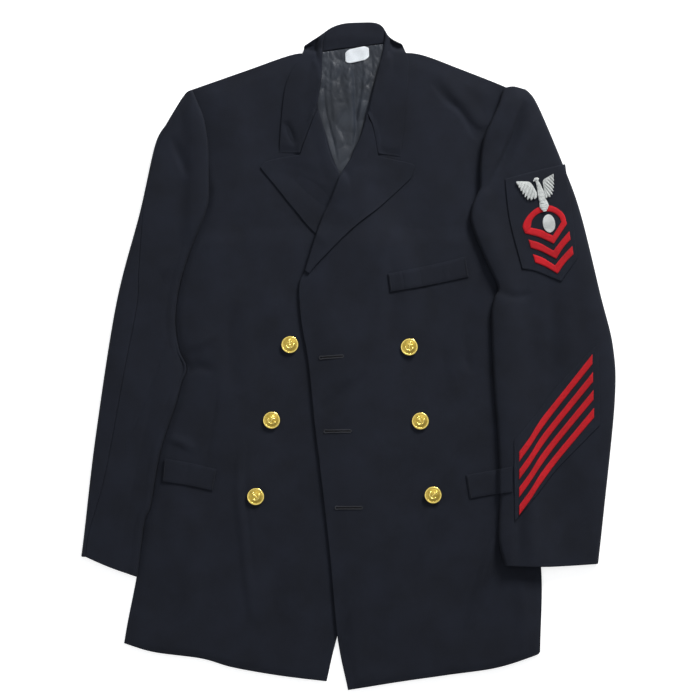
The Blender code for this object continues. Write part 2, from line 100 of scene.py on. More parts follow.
def polyline(rows, steps=24):
    """Smooth curve through the rows: on each span a cubic whose slope at a row is half the
    step between that row's neighbours."""
    rows = np.array(rows, float)
    knots = np.vstack([2 * rows[0] - rows[1], rows, 2 * rows[-1] - rows[-2]])
    t = np.linspace(0, 1, steps, endpoint=False)[:, None]
    runs = []
    for a, b, c, d in zip(knots, knots[1:], knots[2:], knots[3:]):
        runs.append(0.5 * (2 * b + (c - a) * t + (2 * a - 5 * b + 4 * c - d) * t**2
                           + (3 * b - 3 * c + d - a) * t**3))
    return np.vstack(runs + [rows[-1:]])


def along(parts, at):
    """Points at the given shares of the length of one spline, or of several joined at corners."""
    parts = parts if isinstance(parts[0][0], (list, tuple)) else [parts]
    fine = np.vstack([polyline(part) for part in parts])
    length = np.concatenate([[0], np.cumsum(np.linalg.norm(np.diff(fine, axis=0), axis=1))])
    return np.stack([np.interp(np.asarray(at) * length[-1], length, fine[:, k])
                     for k in range(fine.shape[1])], axis=1)


def coons(inner, outer, top, bottom, u, v, reach=1.0):
    """Sheet between four edges.  Each point is the straight blend of the inner and outer edge,
    plus the bends of the two ends, which fade out over the reach."""
    left, right = along(inner, v)[:, None], along(outer, v)[:, None]
    u_, v_ = np.asarray(u)[None, :, None], np.asarray(v)[:, None, None]
    sheet = (1 - u_) * left + u_ * right
    for end, near in ((top, 1 - v_ / reach), (bottom, 1 - (1 - v_) / reach)):
        line = along(end, u)[None]
        sheet = sheet + np.clip(near, 0, 1) * (line - (1 - u_) * line[:, :1] - u_ * line[:, -1:])
    return sheet


def spaced(count, length, first=(0.25, 0.8, 1.6), last=(0.25, 0.8, 1.6)):
    """Shares of a length: even in the middle, with extra places close to its two ends."""
    low = [0.0] + [gap / length for gap in first]
    high = [1 - gap / length for gap in last][::-1] + [1.0]
    return np.array(low + list(np.linspace(low[-1], high[0], count)[1:-1]) + high)


def rise(low, high, value):
    """0 below low, 1 above high, with a smooth S between."""
    t = np.clip((value - low) / (high - low), 0, 1)
    return t * t * (3 - 2 * t)


def edge_distance(grid):
    """Distance from each grid point to the sheet's four edges, measured along the sheet:
    to the first and last column, then to the first and last row."""
    def run(g):
        step = np.linalg.norm(np.diff(g, axis=1), axis=2)
        total = np.concatenate([np.zeros((len(g), 1)), np.cumsum(step, axis=1)], axis=1)
        return total, total[:, -1:] - total
    across = run(grid)
    down = [np.swapaxes(side, 0, 1) for side in run(np.swapaxes(grid, 0, 1))]
    return (*across, *down)


def face_normals(mid):
    """Unit normals of a grid: the cross product of its two directions."""
    across = np.gradient(mid, axis=1)
    down = np.gradient(mid, axis=0)
    normal = np.cross(down, across)
    return normal / np.maximum(np.linalg.norm(normal, axis=2, keepdims=True), 1e-9)


def cloth(name, mid, thickness, finish, weave=None):
    """Closed sheet of cloth round a middle grid.  Both faces stand off the middle by half the
    thickness, which falls to nothing at the four edges along a quarter circle."""
    normal = face_normals(mid)
    edge = np.minimum.reduce(edge_distance(mid))
    radius = thickness / 2
    half = radius * np.sqrt(np.clip(1 - (1 - np.clip(edge / radius, 0, 1)) ** 2, 0, 1))
    half = np.maximum(half, 0.03)[..., None]
    rows, columns, _ = mid.shape
    count = rows * columns
    points = np.concatenate([(mid + normal * half).reshape(-1, 3), (mid - normal * half).reshape(-1, 3)])
    index = np.arange(count).reshape(rows, columns)
    a, b, c, d = index[:-1, :-1], index[:-1, 1:], index[1:, 1:], index[1:, :-1]
    upper = np.stack([a, d, c, b], axis=-1).reshape(-1, 4)
    lower = np.stack([a, b, c, d], axis=-1).reshape(-1, 4) + count
    ring = np.concatenate([index[0, :], index[1:, -1], index[-1, -2::-1], index[-2:0:-1, 0]])
    after = np.roll(ring, -1)
    rim = np.stack([ring, after, after + count, ring + count], axis=-1)
    faces = np.concatenate([upper, lower, rim])
    weave = mid[..., :2] if weave is None else weave
    cloth_uv = np.concatenate([weave.reshape(-1, 2)] * 2) * MM
    return solid(name, points * MM, faces, finish, cloth_uv)


def solid(name, points, faces, finish, uv=None):
    """Mesh object in the scene from arrays of points in metres and four-cornered faces."""
    mesh = bpy.data.meshes.new(f"{name}_piece")
    mesh.vertices.add(len(points))
    mesh.vertices.foreach_set("co", points.astype(np.float32).ravel())
    mesh.loops.add(faces.size)
    mesh.loops.foreach_set("vertex_index", faces.astype(np.int32).ravel())
    mesh.polygons.add(len(faces))
    mesh.polygons.foreach_set("loop_start", np.arange(0, faces.size, faces.shape[1], dtype=np.int32))
    mesh.update(calc_edges=True)
    mesh.validate()
    mesh.polygons.foreach_set("use_smooth", np.ones(len(mesh.polygons), bool))
    if uv is not None:
        layer = mesh.uv_layers.new(name="weave")
        layer.data.foreach_set("uv", uv[faces.ravel()].astype(np.float32).ravel())
    mesh.materials.append(finish)
    piece = bpy.data.objects.new(f"{name}_piece", mesh)
    scene.collection.objects.link(piece)
    return piece


# Heights of what already lies on the table, on a grid of cells; each new piece rests on it.
CELL = 2.0
stack_x = np.arange(-380, 381, CELL)
stack_y = np.arange(-460, 461, CELL)
stack = np.zeros((len(stack_y), len(stack_x)))


def pile(mid, thickness):
    """Enter a piece's upper face in the heights, with three places between any two grid points."""
    share = np.linspace(0, 1, 4, endpoint=False)
    mid = np.concatenate([(1 - s) * mid[:-1] + s * mid[1:] for s in share])
    mid = np.concatenate([(1 - s) * mid[:, :-1] + s * mid[:, 1:] for s in share], axis=1)
    column = np.clip(np.rint((mid[..., 0] - stack_x[0]) / CELL).astype(int), 0, len(stack_x) - 1)
    row = np.clip(np.rint((mid[..., 1] - stack_y[0]) / CELL).astype(int), 0, len(stack_y) - 1)
    np.maximum.at(stack, (row, column), mid[..., 2] + thickness / 2)


def resting(x, y, spread=6.0):
    """Height at which cloth rests at x, y: the highest spot within the spread, then smoothed
    by a Gaussian of half the spread, read between cells by straight blending."""
    cells = int(math.ceil(spread / CELL))
    high = stack.copy()
    for dy in range(-cells, cells + 1):
        for dx in range(-cells, cells + 1):
            if math.hypot(dx, dy) * CELL <= spread:
                high = np.maximum(high, np.roll(stack, (dy, dx), axis=(0, 1)))
    fy = np.fft.fftfreq(len(stack_y), CELL)[:, None]
    fx = np.fft.rfftfreq(len(stack_x), CELL)[None, :]
    blur = np.exp(-2 * (math.pi * spread * 0.5) ** 2 * (fx**2 + fy**2))
    smooth = np.fft.irfft2(np.fft.rfft2(high) * blur, s=high.shape)
    column = np.clip((x - stack_x[0]) / CELL, 0, len(stack_x) - 2)
    row = np.clip((y - stack_y[0]) / CELL, 0, len(stack_y) - 2)
    i, j = row.astype(int), column.astype(int)
    f, g = row - i, column - j
    return ((1 - f) * (1 - g) * smooth[i, j] + (1 - f) * g * smooth[i, j + 1]
            + f * (1 - g) * smooth[i + 1, j] + f * g * smooth[i + 1, j + 1])


def support(flat, spread=2.5):
    """Height at which a piece rests at the places of its grid."""
    return resting(flat[..., 0], flat[..., 1], spread)


def turned(x, y, angle):
    """The places x, y turned about the origin by an angle in radians."""
    return x * np.cos(angle) - y * np.sin(angle), x * np.sin(angle) + y * np.cos(angle)


def folds(x, y, rows):
    """Sum of soft ridges and troughs.  Each row is (path, width, height, lean): across the path
    the height falls off as a bell, narrower on one side by the lean; it fades at both ends."""
    total = np.zeros_like(x)
    for path, width, height, lean in rows:
        line = polyline(path, 8)
        start, step = line[:-1], np.diff(line, axis=0)
        length = np.linalg.norm(step, axis=1)
        near = np.full(x.shape, 1e9)
        side = np.zeros_like(x)
        share = np.zeros_like(x)
        for k in range(len(start)):
            px, py = x - start[k, 0], y - start[k, 1]
            t = np.clip((px * step[k, 0] + py * step[k, 1]) / length[k] ** 2, 0, 1)
            gap = np.hypot(px - t * step[k, 0], py - t * step[k, 1])
            closer = gap < near
            near = np.where(closer, gap, near)
            side = np.where(closer, np.sign(step[k, 0] * py - step[k, 1] * px), side)
            share = np.where(closer, (k + t) / len(start), share)
        fade = np.sin(np.pi * np.clip(share, 0, 1)) ** 0.7
        total += height * fade * np.exp(-(near / (width * (1 + lean * side))) ** 2)
    return total


def swell(x, y, size, height, seed):
    """Gentle unevenness of laid cloth: six sine waves of about the size, in turned directions."""
    draw = np.random.default_rng(seed)
    total = np.zeros_like(x)
    for _ in range(6):
        turn = draw.uniform(0, math.pi)
        pitch = size * draw.uniform(0.7, 1.6)
        phase = draw.uniform(0, 2 * math.pi)
        total += np.sin(2 * math.pi * (x * math.cos(turn) + y * math.sin(turn)) / pitch + phase)
    return height * total / 6


def wired(tree, kind, inputs, **settings):
    """New node with its settings.  Each input, found by name or number, is given a value or is
    joined to a socket."""
    node = tree.nodes.new(kind)
    for key, value in settings.items():
        setattr(node, key, value)
    for key, value in inputs.items():
        if isinstance(value, bpy.types.NodeSocket):
            tree.links.new(value, node.inputs[key])
        else:
            node.inputs[key].default_value = value
    return node


def reckon(tree, operation, *values):
    """Result of one sum on sockets or numbers."""
    return wired(tree, "ShaderNodeMath", dict(enumerate(values)), operation=operation).outputs[0]


def noise(tree, place, scale, detail, roughness=0.5):
    """Noise at the place, with the number of waves in a metre and the detail given."""
    return wired(tree, "ShaderNodeTexNoise", {0: place, 2: scale, 3: detail, 4: roughness}).outputs[0]


def stretched(tree, value, low, high, start=0.0, end=1.0):
    """The value moved from the range low to high into the range start to end."""
    return wired(tree, "ShaderNodeMapRange", {0: value, 1: low, 2: high, 3: start, 4: end}).outputs[0]


def weave_group():
    """Twill weave group: slanting ribs along the weave map, broken by yarn noise, with a slow
    mottle of the dye and a few pale hairs.  Puts out a shade factor, a hair mask and a height."""
    group = bpy.data.node_groups.new("twill", "ShaderNodeTree")
    for name, value in (("Pitch mm", 0.8), ("Mottle", 0.2), ("Lint", 0.3)):
        socket = group.interface.new_socket(name, in_out="INPUT", socket_type="NodeSocketFloat")
        socket.default_value = value
    for name in ("Shade", "Hairs", "Height"):
        group.interface.new_socket(name, in_out="OUTPUT", socket_type="NodeSocketFloat")
    given = wired(group, "NodeGroupInput", {}).outputs
    weave_map = wired(group, "ShaderNodeUVMap", {}, uv_map="weave").outputs[0]
    place = wired(group, "ShaderNodeTexCoord", {}).outputs["Object"]
    split = wired(group, "ShaderNodeSeparateXYZ", {0: weave_map}).outputs
    turns = reckon(group, "DIVIDE", reckon(group, "ADD", split[0], split[1]), given["Pitch mm"])
    yarn = noise(group, weave_map, 900.0, 2.0)
    angle = reckon(group, "MULTIPLY", turns, 2000 * math.pi)
    ribs = reckon(group, "SINE", reckon(group, "MULTIPLY_ADD", yarn, 2.5, angle))
    mottle = stretched(group, noise(group, place, 26.0, 6.0, 0.62), 0.3, 0.7, -1.0, 1.0)
    strong = reckon(group, "MULTIPLY", mottle, given["Mottle"])
    shade = reckon(group, "ADD", reckon(group, "MULTIPLY_ADD", ribs, 0.1, strong), 1.0)
    hairs = stretched(group, noise(group, place, 420.0, 3.0, 0.7), 0.69, 0.8)
    lint = reckon(group, "MULTIPLY", hairs, given["Lint"])
    height = reckon(group, "MULTIPLY_ADD", yarn, 0.8, reckon(group, "MULTIPLY", ribs, 0.35))
    wired(group, "NodeGroupOutput", {"Shade": shade, "Hairs": lint, "Height": height})
    return group


twill = weave_group()


def woven(name, colour, hair, pitch, mottle, lint, roughness, sheen, relief):
    """Cloth material: the dye's colour times the twill's shade, pale hairs over it, and the
    weave's height as bump; the sheen and roughness are the cloth's own."""
    made = bpy.data.materials.new(name)
    made.use_nodes = True
    tree = made.node_tree
    shader = tree.nodes["Principled BSDF"]
    weave = wired(tree, "ShaderNodeGroup", {"Pitch mm": pitch, "Mottle": mottle, "Lint": lint},
                  node_tree=twill).outputs
    dyed = wired(tree, "ShaderNodeVectorMath", {0: colour, "Scale": weave["Shade"]}, operation="SCALE")
    mix = wired(tree, "ShaderNodeMix", {"A": dyed.outputs[0], "B": (*hair, 1), "Factor": weave["Hairs"]},
                data_type="RGBA")
    bump = wired(tree, "ShaderNodeBump", {"Strength": relief, "Distance": 0.0003, "Height": weave["Height"]})
    tree.links.new(mix.outputs["Result"], shader.inputs["Base Color"])
    tree.links.new(bump.outputs[0], shader.inputs["Normal"])
    shader.inputs["Roughness"].default_value = roughness
    shader.inputs["Specular IOR Level"].default_value = 0.25
    shader.inputs["Sheen Weight"].default_value = sheen
    shader.inputs["Sheen Roughness"].default_value = 0.5
    shader.inputs["Sheen Tint"].default_value = (*hair, 1)
    return made


navy = woven("navy_serge", (0.0064, 0.0082, 0.0146), (0.12, 0.13, 0.15), 0.8, 0.24, 0.16, 0.9, 0.04, 0.6)


def attach(piece, slot, *nodes):
    """The piece stands for its nodes and rides on the tunic; the slot is not used."""
    if nodes:
        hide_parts(*nodes)
    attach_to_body(piece, "root")


def laid_sheet(name, mid, thickness, finish, weave=None, slot="navy_wool"):
    """Sheet of cloth that stands for the node of its name."""
    piece = cloth(name, mid, thickness, finish, weave)
    attach(piece, slot, name)
    weave = mid[..., :2] if weave is None else weave


shoulder_right = [(-202, 334), (-125, 361), (-69, 380), (-44, 380)]
shoulder_left = [(57, 382), (91, 380), (141, 362), (192, 342), (202, 337)]
armhole_right = [(-202, 334), (-193, 318), (-184, 299), (-179, 268), (-178, 227), (-179, 192), (-189, 156)]
armhole_left = [(202, 337), (193, 316), (184, 294), (174, 274), (170, 241), (169, 209), (176, 159)]
side_right = [(-189, 156), (-202, 123), (-213, 83), (-217, 42), (-212, 8), (-203, -14), (-209, -33),
              (-218, -65), (-236, -120), (-248, -187), (-256, -210), (-266, -276), (-277, -332),
              (-282, -361)]
side_left = [(176, 159), (194, 92), (204, -14), (225, -149), (243, -263), (242, -372)]
hem_right = [(-282, -361), (-244, -372), (-185, -380), (-146, -391), (-90, -401), (-27, -409)]
hem_left = [(0, -420), (62, -410), (124, -401), (186, -392), (234, -377), (242, -372)]
CLOTH = 1.8             # serge with its canvas and lining
neck_fall_height = 2.3  # room under the back for the fall


def neck_lift(x, y):
    """Height of the back where the collar's fall lies under it."""
    return neck_fall_height * rise(290, 342, y) * (1 - rise(75, 130, abs(x - 6)))


side_under = [(-191, 156)] + [(px - 3.4, py) for px, py in side_right[1:-3]] + side_right[-3:]
back_cuts = {
    "back_right": dict(centre=[[(5, 387), (-4, 100), (-8, -170)], [(-8, -170), (-18, -280), (-40, -400)]],
                       side=[armhole_right, side_under],
                       top=[[(5, 387), (-28, 381), (-44, 380)], shoulder_right[::-1]],
                       hem=[(-40, -400), (-90, -396), (-146, -386), (-185, -375), (-244, -367),
                            (-282, -361)]),
    "back_left": dict(centre=[[(5, 387), (-4, 100), (-8, -170)], [(-8, -170), (0, -280), (14, -410)]],
                      side=[armhole_left, side_left], top=[[(5, 387), (40, 391), (57, 382)], shoulder_left],
                      hem=[(14, -410), (62, -404), (124, -396), (186, -387), (234, -375), (242, -372)])}
for node, cut in back_cuts.items():
    flat = coons(cut["centre"], cut["side"], cut["top"], cut["hem"], spaced(50, 260), spaced(130, 790))
    if node == "back_left":
        flat = flat[:, ::-1]
    x, y = flat[..., 0], flat[..., 1]
    mid = np.dstack([flat, neck_lift(x, y) + CLOTH / 2])
    laid_sheet(node, mid, CLOTH, navy)
    pile(mid, CLOTH)

# ------------------------------------------------------------------ lining in the neck
# Charcoal satin, seen where the fronts stand open.  It is cut with a pleat down its middle and
# hangs in soft upright creases, caught into the collar stand's seam.
SATIN = 0.7  # thickness
satin = woven("charcoal_satin", (0.02, 0.024, 0.032), (0.3, 0.33, 0.38), 0.35, 0.3, 0.05, 0.4, 0.12, 0.25)
lining_right = [(-32, 383), (-50, 323), (-44, 284), (-34, 250), (-22, 208)]
lining_left = [(44, 393), (52, 352), (42, 324), (24, 268), (8, 208)]
flat = coons(lining_right, lining_left, [(-32, 383), (5, 388), (44, 393)], [(-22, 208), (8, 208)],
             spaced(90, 80), spaced(150, 180))
x, y = flat[..., 0], flat[..., 1]
lining_creases = [
    ([(6, 374), (8, 330), (10, 290), (7, 262)], 2.6, -1.5, 0.5),
    ([(1, 372), (3, 330), (6, 296), (3, 262)], 3.2, 1.1, -0.4),
    ([(-18, 376), (-20, 340), (-16, 300), (-12, 262)], 4.0, 0.8, 0.3),
    ([(-27, 370), (-30, 340), (-27, 305), (-18, 270), (-12, 240)], 2.6, -1.0, -0.3),
    ([(-10, 376), (-10, 350), (-4, 318)], 3.0, -0.7, 0.2),
    ([(20, 384), (21, 352), (17, 318), (10, 286)], 3.4, 0.9, 0.4),
    ([(30, 384), (30, 362), (25, 338)], 2.6, -0.9, 0.0),
    ([(-20, 300), (-8, 282), (0, 262)], 3.5, -0.6, 0.2),
    ([(16, 344), (13, 316), (9, 300)], 2.4, -0.8, 0.3)]
crumple = (1.5 * np.abs(swell(x, y, 26, 1.0, 4))
           + 0.9 * np.abs(swell(x + 0.3 * y, 0.6 * y, 11, 1.0, 6)) * rise(300, 345, y))
mid = np.dstack([flat, resting(x, y, 4) + 0.6 + SATIN / 2 + 1.2 * folds(x, y, lining_creases) + crumple
                 + swell(x, y, 30, 0.4, 3) + 1.1])
laid_sheet("back_lining", mid, SATIN, satin, slot="grey_satin")
pile(mid, SATIN)

# ------------------------------------------------------------------ collar stand
# The inside of the stand, a firm strip of the same serge, set on the neck seam and running up
# into the collar's fold.
stand_seam = [(-36, 383), (-12, 387), (6, 389), (26, 391.5), (49, 395)]
stand_top = [(-34, 401), (-23, 412), (-6, 418.6), (16, 419.9), (34, 419), (48, 408.5)]
flat = coons([(-34, 401), (-36, 383)], [(48, 408.5), (49, 395)], stand_top, stand_seam, spaced(50, 78),
             spaced(20, 28))
x, y = flat[..., 0], flat[..., 1]
to_side = np.minimum(*edge_distance(flat)[:2])
height = 4.4 + 2.1 * rise(386, 404, y) - 1.6 * (1 - rise(0, 9, to_side)) + swell(x, y, 40, 0.4, 5)
mid = np.dstack([flat, height])
laid_sheet("collar_stand", mid, CLOTH, navy)
pile(mid, CLOTH)

# ------------------------------------------------------------------ under front, wearer's right
# One wool panel, canvassed and lined, from the shoulder seam and the armhole to the hem.  Its
# side wraps round to the back's side seam, and its edge runs on under the other front.
LOFT = 2.6  # air inside a front


def front_panel(name, neck_edge, front_edge, armhole, side, top, hem, creases, seed, gap):
    """Front on a grid between its four edges, resting on what is below it with a little air
    inside, its creases added, and its side rounded down as a quarter of an ellipse."""
    flat = coons([neck_edge, front_edge], [armhole, side], top, hem,
                 spaced(84, 270, last=(0.25, 0.8, 1.6, 2.8, 4.5, 6.8, 9.5)), spaced(230, 790))
    x, y = flat[..., 0], flat[..., 1]
    to_edge, to_side, to_top, to_hem = edge_distance(flat)
    air = LOFT * rise(0, 30, to_side) * rise(0, 25, to_top + 4) * rise(0, 12, to_hem + 3)
    pressed = rise(0, 30, to_edge)
    bed = pressed * resting(x, y, 24) + (1 - pressed) * resting(x, y, 2.5)
    height = bed + gap + CLOTH / 2 + air * rise(-10, 60, to_edge)
    below_arm = rise(-165, -140, -y)
    bend = 1 - np.sqrt(np.clip(1 - (1 - np.clip(to_side / 8.5, 0, 1)) ** 2, 0, 1))
    height = np.maximum(height + 1.9 * below_arm * rise(0, 9, to_side) - 0.6 * below_arm * bend, CLOTH * 1.5)
    height = height + 1.7 * folds(x, y, creases) * rise(0, 6, np.minimum(to_side, to_edge) + 2)
    uneven = swell(x, y, 110, 1.2, seed) + swell(x, 0.5 * y, 46, 0.45, seed + 7)
    height = height + uneven * rise(0, 30, np.minimum(to_side, to_edge))
    height = np.maximum(height, resting(x, y, 2.5) + CLOTH / 2 + 0.1)
    if x[0, 0] > x[0, -1]:
        flat, height = flat[:, ::-1], height[:, ::-1]
    return np.dstack([flat, height])


neck_edge_right = [(-44, 380), (-35, 350), (-38, 323), (-37, 311), (-29, 284), (-9, 227), (54, 110)]
front_edge_right = [(54, 110), (60, 45), (50, -7), (41, -85), (34, -142), (17, -248), (-14, -354),
                    (-27, -409)]
creases_right = [
    ([(-146, 66), (-150, 20), (-147, -42)], 11, -1.6, 0.3),
    ([(-124, 60), (-130, 10), (-128, -60)], 12, 0.9, 0.0),
    ([(-134, -104), (-137, -169), (-131, -227), (-126, -284), (-119, -336)], 7.5, 1.9, 0.35),
    ([(-127, -112), (-129, -170), (-124, -230), (-119, -290)], 5.0, -1.3, -0.3),
    ([(-164, -38), (-170, -80), (-178, -132)], 2.2, -1.0, 0.0),
    ([(-226, -104), (-210, -108), (-194, -120)], 5.0, 1.4, 0.2),
    ([(-206, 10), (-188, 16), (-164, 30)], 8.0, 1.2, 0.3),
    ([(-204, -20), (-186, -14), (-168, -20)], 6.0, -1.2, 0.2),
    ([(-186, -188), (-196, -250), (-208, -330)], 12, 1.1, 0.2),
    ([(-96, -220), (-92, -290), (-84, -370)], 14, -0.9, 0.2),
    ([(-176, 250), (-168, 200), (-182, 150)], 7.0, 1.0, 0.3),
    ([(-150, 350), (-140, 300), (-138, 240), (-146, 180)], 16, 0.9, 0.0),
    ([(-100, 150), (-84, 90), (-80, 30)], 18, -0.8, 0.0),
    ([(-232, -190), (-236, -260), (-250, -330)], 9.0, -1.0, 0.2)]
mid = front_panel("front_right", neck_edge_right, front_edge_right, armhole_right, side_right,
                  shoulder_right[::-1], hem_right[::-1], creases_right, 11, 0.4)
laid_sheet("front_right", mid, CLOTH, navy)
pile(mid, CLOTH)

# ------------------------------------------------------------------ lapels
# Each lapel is the front's facing turned back along the roll line.  Its cloth comes up round the
# roll in a soft fold, and its peak is sewn to the collar at the gorge seam.
LAPEL = 1.4       # thickness of a lapel and of the fall
ROLL_COLUMNS = 6  # grid columns round a rolled edge


def rolled(flat, height, radius, drop, sweep=150):
    """Sheet that turns under at its first column.  Points near it are drawn in by the radius, and
    new columns go round an arc: out by its sine and down by the drop times one less its cosine."""
    out = flat[:, 0] - flat[:, 5]
    out = (out / np.linalg.norm(out, axis=1)[:, None])[:, None]
    radius, drop = (np.broadcast_to(size, len(flat))[:, None] for size in (radius, drop))
    flat = flat - out * (radius * (1 - rise(0, 15, edge_distance(flat)[0])))[..., None]
    angle = np.radians(np.linspace(sweep, 0, ROLL_COLUMNS, endpoint=False))[None]
    nose = flat[:, :1] + out * (radius * np.sin(angle))[..., None]
    under = height[:, :1] - drop * (1 - np.cos(angle))
    return np.concatenate([nose, flat], axis=1), np.concatenate([under, height], axis=1)


def lapel(name, cut, creases, gap, seed, turn):
    """Lapel between roll line and outer edge, from the gorge to the break, laid on the front."""
    top = [part[::-1] for part in cut["top"][::-1]]
    foot = [cut["roll"][-1], cut["outer"][-1]]
    flat = coons(cut["roll"], cut["outer"], top, foot, spaced(44, 90), spaced(90, 190))
    x, y = flat[..., 0], flat[..., 1]
    to_roll = edge_distance(flat)[0]
    height = resting(x, y, 3) + gap + LAPEL / 2
    height = height + 1.3 * (1 - rise(0, 26, to_roll)) + folds(x, y, creases) + swell(x, y, 60, 0.35, seed)
    flat, height = rolled(flat, height, 2.0, 2.0)
    mid = np.dstack([flat, height])
    if mid[5, 5, 0] > mid[5, -5, 0]:
        mid = mid[:, ::-1]
    weave = np.dstack(turned(mid[..., 0], mid[..., 1], -math.radians(turn)))
    laid_sheet(name, mid, LAPEL, navy, weave)
    pile(mid, LAPEL)


lapel_cut_right = dict(
    outer=[(-110.5, 237.5), (-101, 226), (-92, 215), (-66, 183), (-40, 154), (4, 126), (48, 106)],
    roll=[(-38, 309), (-30, 284), (-23, 254), (-9, 226), (54, 111)],
    top=[[(-110.5, 237.5), (-108, 241), (-102, 245.5), (-84, 250), (-60, 253.5)],
         [(-60, 253.5), (-57.5, 263), (-43.5, 300), (-38, 309)]])
lapel_creases_right = [
    ([(-92, 236), (-60, 222), (-30, 196), (-12, 170)], 13.0, -2.6, 0.0),
    ([(-86, 246), (-60, 238), (-34, 226), (-16, 218)], 7.0, -0.8, 0.2),
    ([(-60, 252), (-48, 268), (-36, 290)], 6.0, 0.6, 0.2)]
lapel("lapel_right", lapel_cut_right, lapel_creases_right, 0.3, 21, 24)

# ------------------------------------------------------------------ top front, wearer's left
# The same panel for the other side, lying over the under front and its lapel as far as the
# front edge, with the three worked buttonholes.
neck_edge_left = [(57, 382), (44, 368), (33, 345), (27, 324), (15, 277), (3, 248), (-15, 214), (-31, 177),
                  (-40, 152), (-54, 108)]
front_edge_left = [(-54, 108), (-61.5, 89), (-59, 45), (-50, -7), (-42, -85), (-35, -142), (-23, -248),
                   (-13, -355), (0, -420)]
creases_left = [
    ([(104, 346), (124, 322), (142, 308), (159, 281), (176, 272)], 6.0, -1.9, 0.45),
    ([(116, 350), (140, 322), (166, 292), (184, 300)], 8.0, 1.4, 0.3),
    ([(176, 268), (188, 280), (196, 300)], 5.0, -1.4, 0.2),
    ([(53, 152), (56, 90), (53, 10)], 13, -1.5, 0.25),
    ([(76, 150), (80, 80), (74, 20)], 13, 0.9, 0.0),
    ([(146, -104), (113, -198), (102, -241), (76, -306)], 9.0, -1.5, 0.4),
    ([(128, -120), (100, -200), (86, -250)], 9.0, 1.0, 0.2),
    ([(190, -204), (177, -246), (165, -284), (145, -342)], 5.0, 2.0, 0.5),
    ([(196, -230), (182, -280), (164, -340)], 7.0, -1.2, 0.0),
    ([(22, -20), (-6, -44), (-34, -70)], 8.0, -1.2, 0.3),
    ([(173, 126), (154, 49), (146, 4), (156, -24)], 7.0, -1.6, 0.4),
    ([(160, 110), (140, 50), (132, 0), (140, -60)], 10, 1.1, 0.2),
    ([(40, -250), (36, -320), (40, -400)], 16, -0.9, 0.2),
    ([(214, -270), (220, -320), (216, -370)], 10, 1.2, 0.2),
    ([(-20, 60), (-24, 10), (-20, -40)], 16, 0.7, 0.0),
    ([(120, 230), (126, 180), (118, 140)], 16, 0.8, 0.0)]
mid = front_panel("front_left", neck_edge_left, front_edge_left, armhole_left, side_left, shoulder_left,
                  hem_left,
                  creases_left, 12, 0.1)
laid_sheet("front_left", mid, CLOTH, navy)
pile(mid, CLOTH)

lapel_cut_left = dict(
    outer=[(84, 236), (81, 228), (76, 221), (40, 188), (14, 168), (-9, 147), (-50, 105)],
    roll=[(25, 304), (23, 301), (16, 277), (8, 261), (3, 248), (-9, 229), (-15, 214), (-22, 196),
          (-31, 177), (-40, 152), (-54, 108)],
    top=[[(84, 236), (83.5, 240.5), (79, 243), (60, 247), (38, 252)], [(38, 252), (32, 285), (25, 304)]])
lapel_creases_left = [
    ([(50, 192), (14, 163), (-9, 142), (-48, 108)], 6.0, 1.9, 0.0),
    ([(10, 236), (30, 226), (56, 226)], 9.0, 0.6, 0.2),
    ([(30, 290), (22, 260), (10, 240)], 7.0, 0.7, 0.0)]
lapel("lapel_left", lapel_cut_left, lapel_creases_left, 0.3, 22, -28)

# ------------------------------------------------------------------ collar
# The fall of the collar, serge over stiff canvas, turned down along its fold.  In front it lies
# on the lapels' side of the neck; behind the neck it passes under the back and comes up in the fold.
collar_fold = [(-40, 312, 9.2), (-34, 348, 9.2), (-33, 374, 9.2), (-32, 396, 9.8), (-27, 409, 6.0),
               (-8, 418, 1.4), (16, 420, 1.2), (36, 419, 1.4), (46, 410, 6.0), (46, 396, 10.2),
               (42, 376, 10.0), (34, 345, 11.4), (25, 305, 13.2)]
collar_edge = [(-87, 256, 9.2), (-83, 309, 9.2), (-78, 342, 9.2), (-67, 366, 9.4), (-57, 382, 9.8),
               (-54, 391, 6.2), (-42, 391, 1.4), (-30, 377, 0.9), (-12, 374, 0.9), (16, 374, 0.9),
               (40, 379, 0.9), (56, 392, 1.4), (67, 393, 6.6), (72, 384, 10.5), (76, 369, 10.0),
               (74, 330, 11.4), (66, 251, 13.2)]
gorge_right = [[(-40, 312, 9.2), (-44, 301, 9.2), (-58, 265, 9.2), (-60, 256, 9.2)],
               [(-60, 256, 9.2), (-87, 256, 9.2)]]
gorge_left = [[(25, 305, 13.2), (32, 287, 13.2), (38, 255, 13.2)], [(38, 255, 13.2), (66, 251, 13.2)]]
sheet = coons(collar_fold, collar_edge, gorge_right, gorge_left, spaced(30, 56), spaced(200, 400), reach=0.2)
flat, height = sheet[..., :2], sheet[..., 2]
x, y = flat[..., 0], flat[..., 1]
in_front = rise(6.2, 8.6, height)
to_fold, _, to_right, to_left = edge_distance(flat)
laid = resting(x, y, 3) + 0.1 + LAPEL / 2 + 1.2 * (1 - rise(0, 24, to_fold))
laid = laid - 1.5 * (1 - rise(0, 12, np.minimum(to_right, to_left)))
collar_creases = [([(-80, 296), (-74, 280), (-67, 264)], 4.0, -3.0, 0.3),
                  ([(-40, 345), (-52, 330), (-60, 300)], 9.0, 0.6, 0.0)]
height = in_front * laid + (1 - in_front) * height + folds(x, y, collar_creases) * in_front
turn = -1.9 + 3.7 * rise(2.0, 9.0, sheet[:, 0, 2])
flat, height = rolled(flat, height, np.hypot(turn, 0.4), turn, sweep=165)
mid = np.dstack([flat, np.maximum(height, LAPEL / 2)])


def unrolled(mid):
    """Weave map of a bent sheet: distance across from its middle column, and down that column."""
    across, _, down, _ = edge_distance(mid)
    middle = mid.shape[1] // 2
    return np.dstack([across - across[:, middle:middle + 1],
                      np.broadcast_to(down[:, middle:middle + 1], across.shape)])


